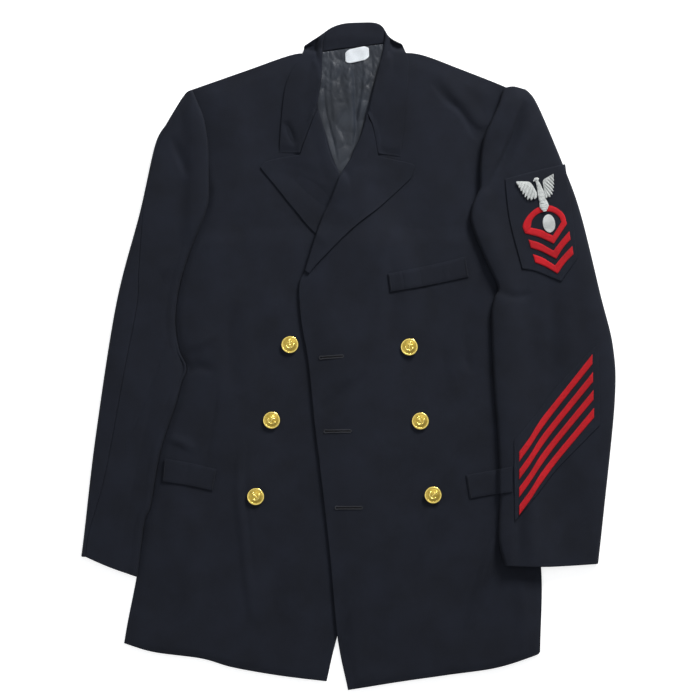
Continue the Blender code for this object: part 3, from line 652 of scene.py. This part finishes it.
laid_sheet("collar", mid, LAPEL, navy,
           unrolled(mid))
pile(mid[:, ROLL_COLUMNS:][in_front[:, 0] > 0.5], LAPEL)

# ------------------------------------------------------------------ sleeves
# Two-piece sleeves of the same serge, lined, laid flat along the body.  The wearer's right one
# shows its hind seam and lies beside the body; the left one lies over the body's side.
NOSE = 2.5  # radius of a sleeve's folded edge
NOSE_STEPS = (0.12, 0.45, 1.0, 1.7, 2.5)  # distances of grid columns from a fold
SEAM_STEPS = (0.3, 0.9, 1.8)              # and from a plain edge


def sleeve_grids(inner, seams, caps, cuffs, lift, margin, loft, creases, seed):
    """Upper and lower grid between the sleeve's two folds, which are the first curve and the last.
    Near a fold each follows a half circle; the upper one rises to its loft along an ellipse."""
    bands = []
    for k, (left, right) in enumerate(zip([inner] + seams[:-1], seams)):
        first = NOSE_STEPS if k == 0 else SEAM_STEPS
        last = NOSE_STEPS if k == len(seams) - 1 else SEAM_STEPS
        columns = spaced(60, 90, first, last) if k == 0 else spaced(16, 18, first, last)
        band = coons(left, right, caps[k], cuffs[k], columns, spaced(170, 620))
        bands.append(band if k == 0 else band[:, 1:])
    flat = np.concatenate(bands, axis=1)
    x, y = flat[..., 0], flat[..., 1]
    to_in, to_out, to_cap, _ = edge_distance(flat)
    to_fold = np.minimum(to_in, to_out)
    curl = NOSE * np.sqrt(1 - (1 - np.clip(to_fold / NOSE, 0, 1)) ** 2)
    bed = np.maximum(resting(x, y, 8) * lift(x, y), margin * (1 - rise(3, 12, to_in)))
    low = bed + CLOTH / 2 + 0.1 + NOSE - curl
    air = loft * np.sqrt(1 - (1 - np.clip(to_fold / 24, 0, 1)) ** 2) * rise(-8, 26, to_cap)
    high = np.maximum(resting(x, y, 20) * lift(x, y), bed) + CLOTH / 2 + 0.1 + NOSE + curl + air
    calm = rise(0, 5, to_fold + 1)
    uneven = swell(x, y, 90, 1.0, seed) + swell(x, 0.5 * y, 40, 0.4, seed + 7)
    high = high + calm * (1.4 * folds(x, y, creases) + uneven * rise(0, 20, to_fold))
    high = np.maximum(high, low + (CLOTH + 0.15) * rise(0, 3, to_fold))
    return np.dstack([flat, high]), np.dstack([flat, low])


inner_right = [[(-197, 335), (-189, 317), (-182, 298), (-177, 268), (-176, 227), (-177, 192), (-189.5, 157)],
               [(-189.5, 157)] + [(px - 1.0, py) for px, py in side_right[1:-3]] + [(-266, -277)]]
hind_seam = [(-208, 325), (-224, 296), (-238, 264), (-255, 200), (-262, 112), (-264, 66), (-280, -18),
             (-305, -152), (-325, -220), (-330, -252)]
outer_right = [(-213, 317), (-228, 292), (-242, 266), (-261, 182), (-291, 66), (-317, -101), (-331, -220),
               (-335, -252)]
sleeve_creases_right = [
    ([(-222, 276), (-212, 250), (-200, 225)], 6.0, -1.8, 0.3),
    ([(-240, -30), (-262, -130), (-288, -262)], 11.0, -1.6, 0.4),
    ([(-226, -20), (-246, -110), (-268, -200)], 12.0, 1.0, 0.0),
    ([(-230, 17), (-244, -30), (-263, -76), (-286, -129)], 1.4, -0.5, 0.0),
    ([(-216, 44), (-210, 6), (-206, -16), (-215, -56)], 7.0, -4.2, 0.0),
    ([(-200, 150), (-216, 120), (-236, 104)], 9.0, 1.2, 0.2),
    ([(-292, -120), (-306, -180), (-318, -240)], 9.0, 0.8, 0.0)]
upper, lower = sleeve_grids(
    inner_right, [hind_seam, outer_right], [[(-197, 335), (-203, 332), (-208, 325)],
                                            [(-208, 325), (-213, 317)]],
    [[(-266, -277), (-300, -265), (-330, -252)], [(-330, -252), (-335, -252)]],
    lambda x, y: rise(110, 175, y) * rise(-214, -196, x), CLOTH + 0.2, 4.2, sleeve_creases_right, 31)
seam_column = upper.shape[1] - 21
sleeve_halves = {
    "top_sleeve_right": [lower[:, 5:0:-1], upper[:, :seam_column]],
    "under_sleeve_right": [upper[:, seam_column - 1:], lower[:, :4:-1]]}
for name, bands in sleeve_halves.items():
    mid = np.concatenate(bands, axis=1)
    laid_sheet(name, mid, CLOTH, navy, unrolled(mid))
pile(upper, CLOTH)

inner_left = [[(197, 338), (190, 316), (181, 296), (171, 272), (167, 241), (167, 212)],
              [(167, 212), (157, 188), (156, 167), (170, 130), (189, 88), (185, 74), (181, 49), (184, -30),
               (188, -83), (190, -117), (192, -169), (190, -227), (198, -263)]]
outer_left = [(218, 336.5), (226, 333), (239, 314), (270, 241), (292, 180), (317, 78), (333, 11),
              (335, -57), (321, -197), (314, -261)]
sleeve_creases_left = [
    ([(222, 322), (202, 266), (172, 206)], 6.0, -4.0, 0.4),
    ([(236, 306), (214, 256), (188, 200)], 10.0, 1.6, 0.0),
    ([(254, 100), (256, 20), (250, -60)], 10.0, -1.5, 0.2),
    ([(276, 90), (280, 10), (276, -70)], 14.0, 1.0, 0.0),
    ([(217, -170), (214, -220), (211, -268)], 6.0, -2.4, 0.3),
    ([(232, -170), (232, -220), (230, -268)], 9.0, 1.0, 0.0),
    ([(186, 82), (208, 74), (232, 78)], 5.0, -1.6, 0.3)]
upper, lower = sleeve_grids(
    inner_left, [outer_left], [[(197, 338), (208, 339.5), (218, 336.5)]],
    [[(198, -263), (256, -264), (314, -261)]],
    lambda x, y: 1.0, 0.0, 4.6, sleeve_creases_left, 32)
sleeve_halves = {"top_sleeve_left": [lower[:, 5:0:-1], upper, lower[:, -2:-7:-1]],
                 "under_sleeve_left": [lower[:, 5:-5]]}
for name, bands in sleeve_halves.items():
    mid = np.concatenate(bands, axis=1)
    laid_sheet(name, mid, CLOTH, navy, unrolled(mid))
pile(upper, CLOTH)

# ------------------------------------------------------------------ pocket welts
# Narrow folded strips of serge standing up from the pocket mouths, sewn along their lower edge
# and tacked at both ends.  One is on the breast, and one on each hip.


def strip(name, edges, thickness, gap=0.25, dome=0.0, bends=(), counts=(90, 30)):
    """Flat piece of serge between its left, right, top and foot edges, laid on what is below it;
    the dome raises its middle, and the bends shape it further."""
    left, right, top, foot = edges
    flat = coons(left, right, top, foot, spaced(counts[0], 100, SEAM_STEPS, SEAM_STEPS),
                 spaced(counts[1], 50, SEAM_STEPS, SEAM_STEPS))
    if flat[0, 0, 0] > flat[0, -1, 0]:
        flat = flat[:, ::-1]
    x, y = flat[..., 0], flat[..., 1]
    inset = np.minimum.reduce(edge_distance(flat))
    height = resting(x, y, 3) + gap + thickness / 2 + dome * rise(0, 4, inset) + folds(x, y, list(bends))
    mid = np.dstack([flat, height])
    laid_sheet(name, mid, thickness, navy)
    pile(mid, thickness)


WELT = 1.3  # thickness
strip("breast_welt", ([(50, 104), (53, 81)], [(148, 125.5), (152, 100)],
                      [(50, 104), (100, 114), (148, 125.5)],
                      [(53, 81), (100, 89), (152, 100)]), WELT, dome=0.5,
      bends=[([(66, 112), (69, 96), (70, 80)], 1.6, -0.4, 0.3),
             ([(88, 116), (91, 100), (92, 84)], 1.6, -0.3, 0.3),
             ([(120, 122), (123, 108), (126, 92)], 4.0, 0.4, 0.0)])
strip("hip_welt_right", ([(-231, -128), (-234, -157)], [(-165, -142), (-170, -169)],
                         [(-231, -128), (-198, -134), (-165, -142)],
                         [(-234, -157), (-202, -162), (-170, -169)]),
      WELT, dome=0.4, bends=[([(-200, -132), (-203, -148), (-205, -166)], 3.0, -0.5, 0.2)])
strip("hip_welt_left", ([(148, -149), (153, -179)], [(206, -138), (206, -170)],
                        [(148, -149), (176, -144), (206, -138)], [(153, -179), (180, -174), (206, -170)]),
      WELT, dome=0.4)


def stitches(name, places, size, finish):
    """Row of small thread bars as one mesh.  Each place is (x, y, angle in degrees); each bar is a
    ball drawn out to the size (length, width, height), lying on the cloth and sunk in a little."""
    places = np.array(places, float)
    turn, up = np.meshgrid(np.linspace(0, 2 * math.pi, 9)[:-1], np.radians([-60, -20, 20, 60, 90]))
    ball = np.stack([np.cos(turn) * np.cos(up), np.sin(turn) * np.cos(up), np.sin(up)], axis=-1)
    ball = ball * np.array(size) / 2
    rows, columns = turn.shape
    heading = np.radians(places[:, 2])[:, None, None]
    level = resting(places[:, 0], places[:, 1], 2.0) + size[2] / 2 - 0.1
    px, py = turned(ball[..., 0], ball[..., 1], heading)
    points = np.stack([places[:, 0, None, None] + px, places[:, 1, None, None] + py,
                       level[:, None, None] + ball[None, ..., 2]], axis=-1)
    index = np.arange(rows * columns).reshape(rows, columns)
    after = np.roll(index, -1, axis=1)
    faces = np.stack([index[:-1], after[:-1], after[1:], index[1:]], axis=-1).reshape(-1, 4)
    foot = index[0][[[3, 2, 1, 0], [0, 7, 4, 3], [7, 6, 5, 4]]]
    faces = np.concatenate([faces, foot])
    faces = (faces[None] + (np.arange(len(places)) * rows * columns)[:, None, None]).reshape(-1, 4)
    thread_map = points[..., :2].reshape(-1, 2) * MM
    attach(solid(name, points.reshape(-1, 3) * MM, faces, finish, thread_map), "navy_wool")


def row_of(start, end, pitch, tilt=0.0):
    """Places of stitches from start to end, all turned along the line and then by the tilt."""
    start, end = np.array(start, float), np.array(end, float)
    count = max(2, int(round(np.linalg.norm(end - start) / pitch)) + 1)
    way = math.degrees(math.atan2(*(end - start)[::-1]))
    line = start + (end - start) * np.linspace(0, 1, count)[:, None]
    return np.column_stack([line, np.full(count, way + tilt)])


navy_thread = woven("navy_thread", (0.016, 0.018, 0.026), (0.2, 0.21, 0.24), 0.5, 0.2, 0.2, 0.75, 0.1, 0.4)
stitches("welt_tacks", np.vstack([
    row_of((52, 102), (54.5, 84), 0.9, 90), row_of((146.5, 123), (150, 102), 0.9, 90),
    row_of((-229.5, -131), (-232, -155), 0.9, 90), row_of((-167, -143), (-171, -166), 0.9, 90),
    row_of((150.5, -151), (155, -177), 0.9, 90)]), (2.0, 0.55, 0.5), navy_thread)

# ------------------------------------------------------------------ buttonholes
# Three worked holes in the top front, each a cut slit with a round eye at its outer end, edged
# all round with close stitches in a thread gone a little grey.
grey_thread = woven("grey_thread", (0.034, 0.036, 0.043), (0.25, 0.26, 0.28), 0.5, 0.3, 0.3, 0.7, 0.15, 0.4)
slit_dark = woven("slit_shadow", (0.002, 0.002, 0.003), (0.02, 0.02, 0.02), 0.8, 0.2, 0.0, 0.95, 0.0, 0.3)
hole_ends = [((-34, -1.5), (-6, 0.5)), ((-28, -94), (4, -93.5)), ((-14, -190), (18, -190))]
EYE_RADIUS = 2.1  # of a buttonhole's round end


def hole_outline(start, end, gap, pitch):
    """Places round a keyhole: an open circle of the eye's radius at the start, then both sides of
    the slit, each stitch turned square to the edge."""
    start, end = np.array(start, float), np.array(end, float)
    way = math.atan2(*(end - start)[::-1])
    length = np.linalg.norm(end - start)
    eye = np.radians(np.arange(35, 326, math.degrees(pitch / EYE_RADIUS)))
    side = np.arange(EYE_RADIUS * 0.9, length, pitch)
    local = np.concatenate([np.column_stack([EYE_RADIUS * np.cos(eye), EYE_RADIUS * np.sin(eye),
                                             np.degrees(eye)]),
                            np.column_stack([side, np.full(len(side), gap), np.full(len(side), 90)]),
                            np.column_stack([side, np.full(len(side), -gap), np.full(len(side), 90)]),
                            [[length, 0, 0], [length + 0.2, 0.5, 20], [length + 0.2, -0.5, -20]]])
    px, py = turned(local[:, 0], local[:, 1], way)
    return np.column_stack([start[0] + px, start[1] + py, local[:, 2] + math.degrees(way)])


for number, (start, end) in enumerate(hole_ends, 1):
    across = np.array([-(end[1] - start[1]), end[0] - start[0]]) / math.dist(start, end)
    share = np.linspace(0, 1, 60)[:, None]
    centre = (1 - share) * np.array(start) + share * np.array(end)
    half = 1.0 + 1.1 * (1 - rise(1.2, 3.0, share[:, 0] * math.dist(start, end)))
    share = np.linspace(-1, 1, 9)[:, None, None]
    flat = (centre[None] + share * half[None, :, None] * across)[::-1]
    mid = np.dstack([flat, support(flat, 2) + 0.12])
    attach(cloth(f"buttonhole_slit_{number}", mid, 0.2, slit_dark), "navy_wool")
    stitches(f"buttonhole_{number}", hole_outline(start, end, 1.5, 0.55), (2.0, 0.55, 0.8), grey_thread)

# ------------------------------------------------------------------ buttons
# Six domed gilt buttons struck in brass, each with a bright rim, a ring of rope and a plain
# anchor, sewn on by a shank; the relief is generic and holds no letters.


def gilt_finish():
    """Gilt brass: yellow metal, darker and rougher in the hollows of the relief and where the
    gilding is worn, with fine scratches as bump."""
    made = bpy.data.materials.new("gilt_brass")
    made.use_nodes = True
    tree = made.node_tree
    shader = tree.nodes["Principled BSDF"]
    relief = wired(tree, "ShaderNodeAttribute", {}, attribute_name="relief").outputs["Fac"]
    place = wired(tree, "ShaderNodeTexCoord", {}).outputs["Object"]
    worn = reckon(tree, "MULTIPLY_ADD", noise(tree, place, 420.0, 5.0, 0.6), 0.5, relief)
    shade = stretched(tree, worn, 0.35, 0.95)
    tone = wired(tree, "ShaderNodeMix", {"A": (0.42, 0.28, 0.03, 1), "B": (0.92, 0.72, 0.2, 1),
                                         "Factor": shade}, data_type="RGBA")
    scratch = noise(tree, place, 2600.0, 3.0)
    bump = wired(tree, "ShaderNodeBump", {"Strength": 0.25, "Distance": 0.0001, "Height": scratch})
    tree.links.new(tone.outputs["Result"], shader.inputs["Base Color"])
    tree.links.new(stretched(tree, shade, 0.0, 1.0, 0.5, 0.24), shader.inputs["Roughness"])
    tree.links.new(bump.outputs[0], shader.inputs["Normal"])
    shader.inputs["Metallic"].default_value = 1.0
    return made


gilt = gilt_finish()


def anchor_relief(px, py):
    """Height from 0 to 1 of a plain upright anchor in a unit circle: ring, stock, shank and arms,
    each as a soft band about its line or arc."""
    def band(distance, half):
        return 1 - rise(half * 0.5, half * 1.3, distance)
    shank = band(np.hypot(px, np.maximum(np.abs(py - 0.02) - 0.42, 0)), 0.075)
    stock = band(np.hypot(np.maximum(np.abs(px) - 0.24, 0), py - 0.28), 0.06)
    ring = band(np.abs(np.hypot(px, py - 0.52) - 0.09), 0.045)
    arms = band(np.abs(np.hypot(px, py - 0.02) - 0.44), 0.075) * (py < -0.08)
    flukes = band(np.hypot(np.abs(px) - 0.45, py + 0.08), 0.11)
    return np.maximum.reduce([shank, stock, ring, arms, flukes])


BUTTON_RADIUS = 10.8
dome_r, rim_r = np.linspace(0, 0.76, 44), np.linspace(0.775, 1.0, 26)
dome_z = 3.2 - 1.2 * (dome_r / 0.76) ** 2
rim_z = 1.65 + 0.75 * np.sqrt(np.clip(1 - ((rim_r - 0.9) / 0.1) ** 2, 0, 1))
profile_r = np.concatenate([dome_r, rim_r, [1.0, 0.97, 0.9, 0.3, 0.26, 0.26, 0.0]])
profile_z = np.concatenate([dome_z, rim_z, [1.5, 0.9, 0.6, 0.5, 0.3, -1.2, -1.2]])
button_places = [(-73, 15, 10), (-96, -80, -25), (-116, -176, 40), (77, 12, -12), (91, -81, 30),
                 (107, -174, -50)]
for number, (bx, by, spin) in enumerate(button_places, 1):
    theta = np.linspace(0, 2 * math.pi, 121)[:-1]
    radius, turn = np.meshgrid(profile_r, theta, indexing="ij")
    px, py = radius * np.cos(turn), radius * np.sin(turn)
    top_side = (np.arange(len(profile_r)) < len(dome_r) + len(rim_r))[:, None]
    strands = 0.6 + 0.4 * np.sin(30 * turn + 40 * radius)
    rope = top_side * np.clip(1 - ((radius - 0.8) / 0.055) ** 2, 0, 1) * strands
    raised = top_side * np.maximum(anchor_relief(px, py) * (radius < 0.7), rope)
    rim = top_side * (radius > 0.86)
    pz = profile_z[:, None] + 0.5 * raised + 0.02 * np.sin(9 * turn) * top_side
    px, py = turned(px, py, math.radians(spin))
    floor = float(resting(np.array([bx]), np.array([by]), 5)[0])
    points = np.stack([bx + BUTTON_RADIUS * px, by + BUTTON_RADIUS * py, floor + 1.0 + pz], axis=-1)
    index = np.arange(points[..., 0].size).reshape(radius.shape)
    after = np.roll(index, -1, axis=1)
    faces = np.stack([index[:-1], index[1:], after[1:], after[:-1]], axis=-1).reshape(-1, 4)
    button = solid(f"button_{number}", points.reshape(-1, 3) * MM, faces, gilt)
    relief = button.data.attributes.new("relief", "FLOAT", "POINT")
    bright = np.clip(0.25 + 0.7 * raised + 0.7 * rim, 0, 1).astype(np.float32)
    relief.data.foreach_set("value", bright.ravel())
    attach(button, "gilt", f"button_{number}")

# ------------------------------------------------------------------ rate badge
# A shield of the tunic's own serge, folded under at its edges and sewn to the left sleeve.  On it
# are a plain bird with raised wings and an oval in silver thread, over red felt arc and chevrons.
scarlet = woven("scarlet_felt", (0.42, 0.006, 0.012), (0.75, 0.16, 0.15), 0.55, 0.22, 0.12, 0.8, 0.03, 0.5)
silver = woven("silver_thread", (0.52, 0.54, 0.53), (0.8, 0.82, 0.8), 0.7, 0.3, 0.4, 0.42, 0.1, 1.0)

strip("badge_patch", ([(197, 223), (203, 172), (219, 110)], [(273, 242), (282.5, 172), (288, 123)],
                      [(197, 223), (234, 233), (273, 242)],
                      [[(219, 110), (236, 107), (268, 94)], [(268, 94), (288, 123)]]),
      1.2, gap=0.2, counts=(70, 110))


def silver_work(name, sheets, thickness):
    """Several small sheets of silver thread as one mesh: each is built as cloth, then joined."""
    made = [cloth(f"{name}_{k}", sheet, thickness, silver) for k, sheet in enumerate(sheets)]
    mesh = bmesh.new()
    for part in made:
        mesh.from_mesh(part.data)
    whole = bpy.data.meshes.new(f"{name}_piece")
    mesh.to_mesh(whole)
    mesh.free()
    whole.materials.append(silver)
    for part in made:
        bpy.data.objects.remove(part)
    piece = bpy.data.objects.new(f"{name}_piece", whole)
    scene.collection.objects.link(piece)
    attach(piece, "silver_thread", name)


FELT = 0.7  # thickness


def felt_height(flat, inset):
    """Height of a felt band's middle: on the cloth below, and domed in from its cut edges."""
    return support(flat) + 0.45 + 0.45 * rise(0, 2.2, inset)


def felt_band(name, upper_edge, lower_edge, ends, steps=90):
    """Band of felt between two long edges, laid flat and rounded at its cut edges."""
    flat = coons(upper_edge, lower_edge, ends[0], ends[1], np.linspace(0, 1, 14), np.linspace(0, 1, steps))
    if flat[0, 0, 0] > flat[0, -1, 0]:
        flat = flat[:, ::-1]
    mid = np.dstack([flat, felt_height(flat, np.minimum.reduce(edge_distance(flat)))])
    laid_sheet(name, mid, FELT, scarlet, unrolled(mid), slot="scarlet_felt")


arc_outer = [[(222.3, 154.7), (219.4, 164.4), (226, 177), (238, 187), (251, 190), (263, 186), (271.5, 178),
              (275, 166.5)],
             [(275, 166.5), (266, 153), (258.3, 141.6)], [(258.3, 141.6), (241, 149.5), (222.3, 154.7)]]
arc_inner = [[(229.3, 161.9), (231.5, 171.5), (238, 178.5), (248, 182), (258, 180.5), (265, 175),
              (267.8, 169)],
             [(267.8, 169), (262.5, 160), (256.9, 151.8)], [(256.9, 151.8), (244, 158.5), (229.3, 161.9)]]
outer_line = np.vstack([along(part, np.linspace(0, 1, 60)) for part in arc_outer])
inner_line = np.vstack([along(part, np.linspace(0, 1, 60)) for part in arc_inner])
share = np.linspace(0, 1, 14)[None, :, None]
flat = (1 - share) * inner_line[:, None] + share * outer_line[:, None]
flat = flat[np.linalg.norm(np.diff(flat[:, -1], axis=0, prepend=flat[-1:, -1] + 1), axis=1) > 1e-6]
flat = np.concatenate([flat, flat[:1]])
arc_mid = np.dstack([flat, felt_height(flat, np.minimum(*edge_distance(flat)[:2]))])
laid_sheet("badge_arc", arc_mid, FELT, scarlet, unrolled(arc_mid), slot="scarlet_felt")
for number in (1, 2):
    d = 18.5 * (number - 1)
    high = [[(226.5 + 0.3 * d, 147 - d), (241 + 0.2 * d, 142.5 - d), (258 + 0.1 * d, 133 - d)],
            [(258 + 0.1 * d, 133 - d), (268 + 0.15 * d, 146 - d), (278 + 0.2 * d, 157.5 - d)]]
    low = [[(229.5 + 0.3 * d, 136.5 - d), (244 + 0.2 * d, 131.5 - d), (261.5 + 0.1 * d, 122.5 - d)],
           [(261.5 + 0.1 * d, 122.5 - d), (270 + 0.15 * d, 136 - d), (279.5 + 0.2 * d, 147 - d)]]
    felt_band(f"badge_chevron_{number}", high, low, ([high[0][0], low[0][0]], [high[1][-1], low[1][-1]]))
pile(arc_mid, FELT)


def feather_fan(lead, tips, feathers=8):
    """Wing between its leading edge and its feather tips.  Each feather is a ridge along the wing,
    and its tip stands out from the edge as half a sine."""
    outward, down = np.linspace(0, 1, 24), np.linspace(0, 1, 120)
    flat = coons(lead, tips, [lead[0], tips[0]], [lead[-1], tips[-1]], outward, down)
    share = outward[None, :]
    wave = np.abs(np.sin(math.pi * feathers * down))[:, None]
    way = flat[:, -1:] - flat[:, :1]
    flat = flat + way * (0.3 * (wave - 0.6) * share**3)[..., None]
    row_lift = 0.35 * rise(0.30, 0.36, share) - 0.35 * rise(0.36, 0.62, share)
    bulk = 0.9 * np.sqrt(np.clip(1 - (2 * share - 1) ** 2 * 0.8, 0, 1))
    height = support(flat) + 0.5 + bulk + 1.3 * wave * rise(0.05, 0.4, share) - row_lift
    mid = np.dstack([flat, height])
    return mid if np.cross(mid[1, 0] - mid[0, 0], mid[0, 1] - mid[0, 0])[2] < 0 else mid[:, ::-1]


def limb(spine, widths, bulk, floor=0.5):
    """Rounded body along a spine: half widths at even places on it, and a section of half an ellipse."""
    centre = along(spine, np.linspace(0, 1, 60))
    way = np.gradient(centre, axis=0)
    normal = np.column_stack([-way[:, 1], way[:, 0]]) / np.linalg.norm(way, axis=1)[:, None]
    half = np.interp(np.linspace(0, 1, 60), np.linspace(0, 1, len(widths)), widths)
    share = np.linspace(-1, 1, 15)
    flat = centre[:, None] + normal[:, None] * (half[:, None] * share)[..., None]
    round_top = bulk * np.sqrt(1 - share**2)[None] * np.sqrt(half / max(widths))[:, None]
    height = support(flat) + floor + round_top + 0.16 * np.sin(np.linspace(0, 40, 60))[:, None]
    return np.dstack([flat, height])


bird_sheets = [
    feather_fan([(211.3, 219.5), (221, 219.8), (229.5, 218), (237, 206)],
                [(211, 218.5), (219, 206.5), (227, 198), (237, 199)]),
    feather_fan([(257.8, 229.3), (250, 225), (244.6, 220), (246.5, 207)],
                [(258, 227.5), (257.6, 214), (254.5, 203), (247, 199)]),
    limb([(236.2, 221.5), (239, 216), (241.5, 208), (243.5, 199), (245, 192)],
         [1.4, 2.6, 3.4, 4.8, 4.6, 3.4], 2.0),
    limb([(239.2, 221.6), (236, 222.6), (232.6, 220)], [2.0, 2.3, 1.5, 0.5], 1.6, 0.8),
    limb([(244, 199), (245.6, 192), (247.2, 182)], [3.2, 4.6, 5.4, 6.0, 4.4, 1.5], 1.3, 0.5)]
silver_work("badge_bird", bird_sheets, 0.8)

radial, turn = np.meshgrid(np.linspace(0, 1, 26), np.linspace(0, 2 * math.pi, 97))
x, y = turned(7.8 * radial * np.cos(turn), 11.5 * radial * np.sin(turn), math.radians(8))
x, y = x + 252.4, y + 167
quilt = 0.12 * np.sin(2.2 * x + 1.3 * y) * np.sin(2.4 * y - x) * rise(0, 0.3, 1 - radial)
mid = np.dstack([x, y, resting(x, y, 2.5) + 0.4 + 1.3 * np.sqrt(np.clip(1 - radial**2, 0, 1)) + quilt])
silver_work("badge_oval", [mid], 0.6)

# ------------------------------------------------------------------ service stripes
# Four slanting bands of red felt with upright ends, on a backing of the tunic's own serge.  The
# backing is sewn across the left forearm and climbs towards the sleeve's outer fold.
strip("stripe_patch", ([(208, -106), (209, -207)], [(314.5, 17), (317, -86)],
                       [(208, -106), (238, -70), (262, -38), (314.5, 17)],
                       [(209, -207), (240, -170), (264, -140), (317, -86)]), 1.0,
                       gap=0.15,
      counts=(90, 90))
for number in range(1, 5):
    d = 22.4 * (number - 1)
    high = [(214.5, -119.5 - d), (228, -101 - d), (242, -79 - d), (265, -50 - d), (307 + 0.03 * d, 3 - d)]
    low = [(214.5, -132 - d), (228, -113.5 - d), (242, -92.5 - d), (265, -62 - d), (307 + 0.03 * d, -9.5 - d)]
    felt_band(f"stripe_{number}", high, low, ([high[0], low[0]], [high[-1], low[-1]]), 160)

# ------------------------------------------------------------------ neck label
# A small bare label of white cotton tape, its corners rounded, tacked to the lining just under
# the collar stand.
tape = woven("white_tape", (0.6, 0.63, 0.66), (0.9, 0.9, 0.9), 0.6, 0.12, 0.2, 0.85, 0.05, 0.5)
u, v = np.meshgrid(np.linspace(-1, 1, 40), np.linspace(1, -1, 30))
hx, hy = 15.2 * u * (1 - 0.2 * v**8) + 1.2 * v, 8.6 * v * (1 - 0.2 * u**8)
x, y = turned(hx, hy, math.radians(12))
x, y = x + 11.5, y + 379.5
mid = np.dstack([x, y, resting(x, y, 4) + 0.5 + 0.25 * np.sin(0.35 * x + 0.2 * y)])
laid_sheet("neck_label", mid, 0.5, tape, slot="white_tape")
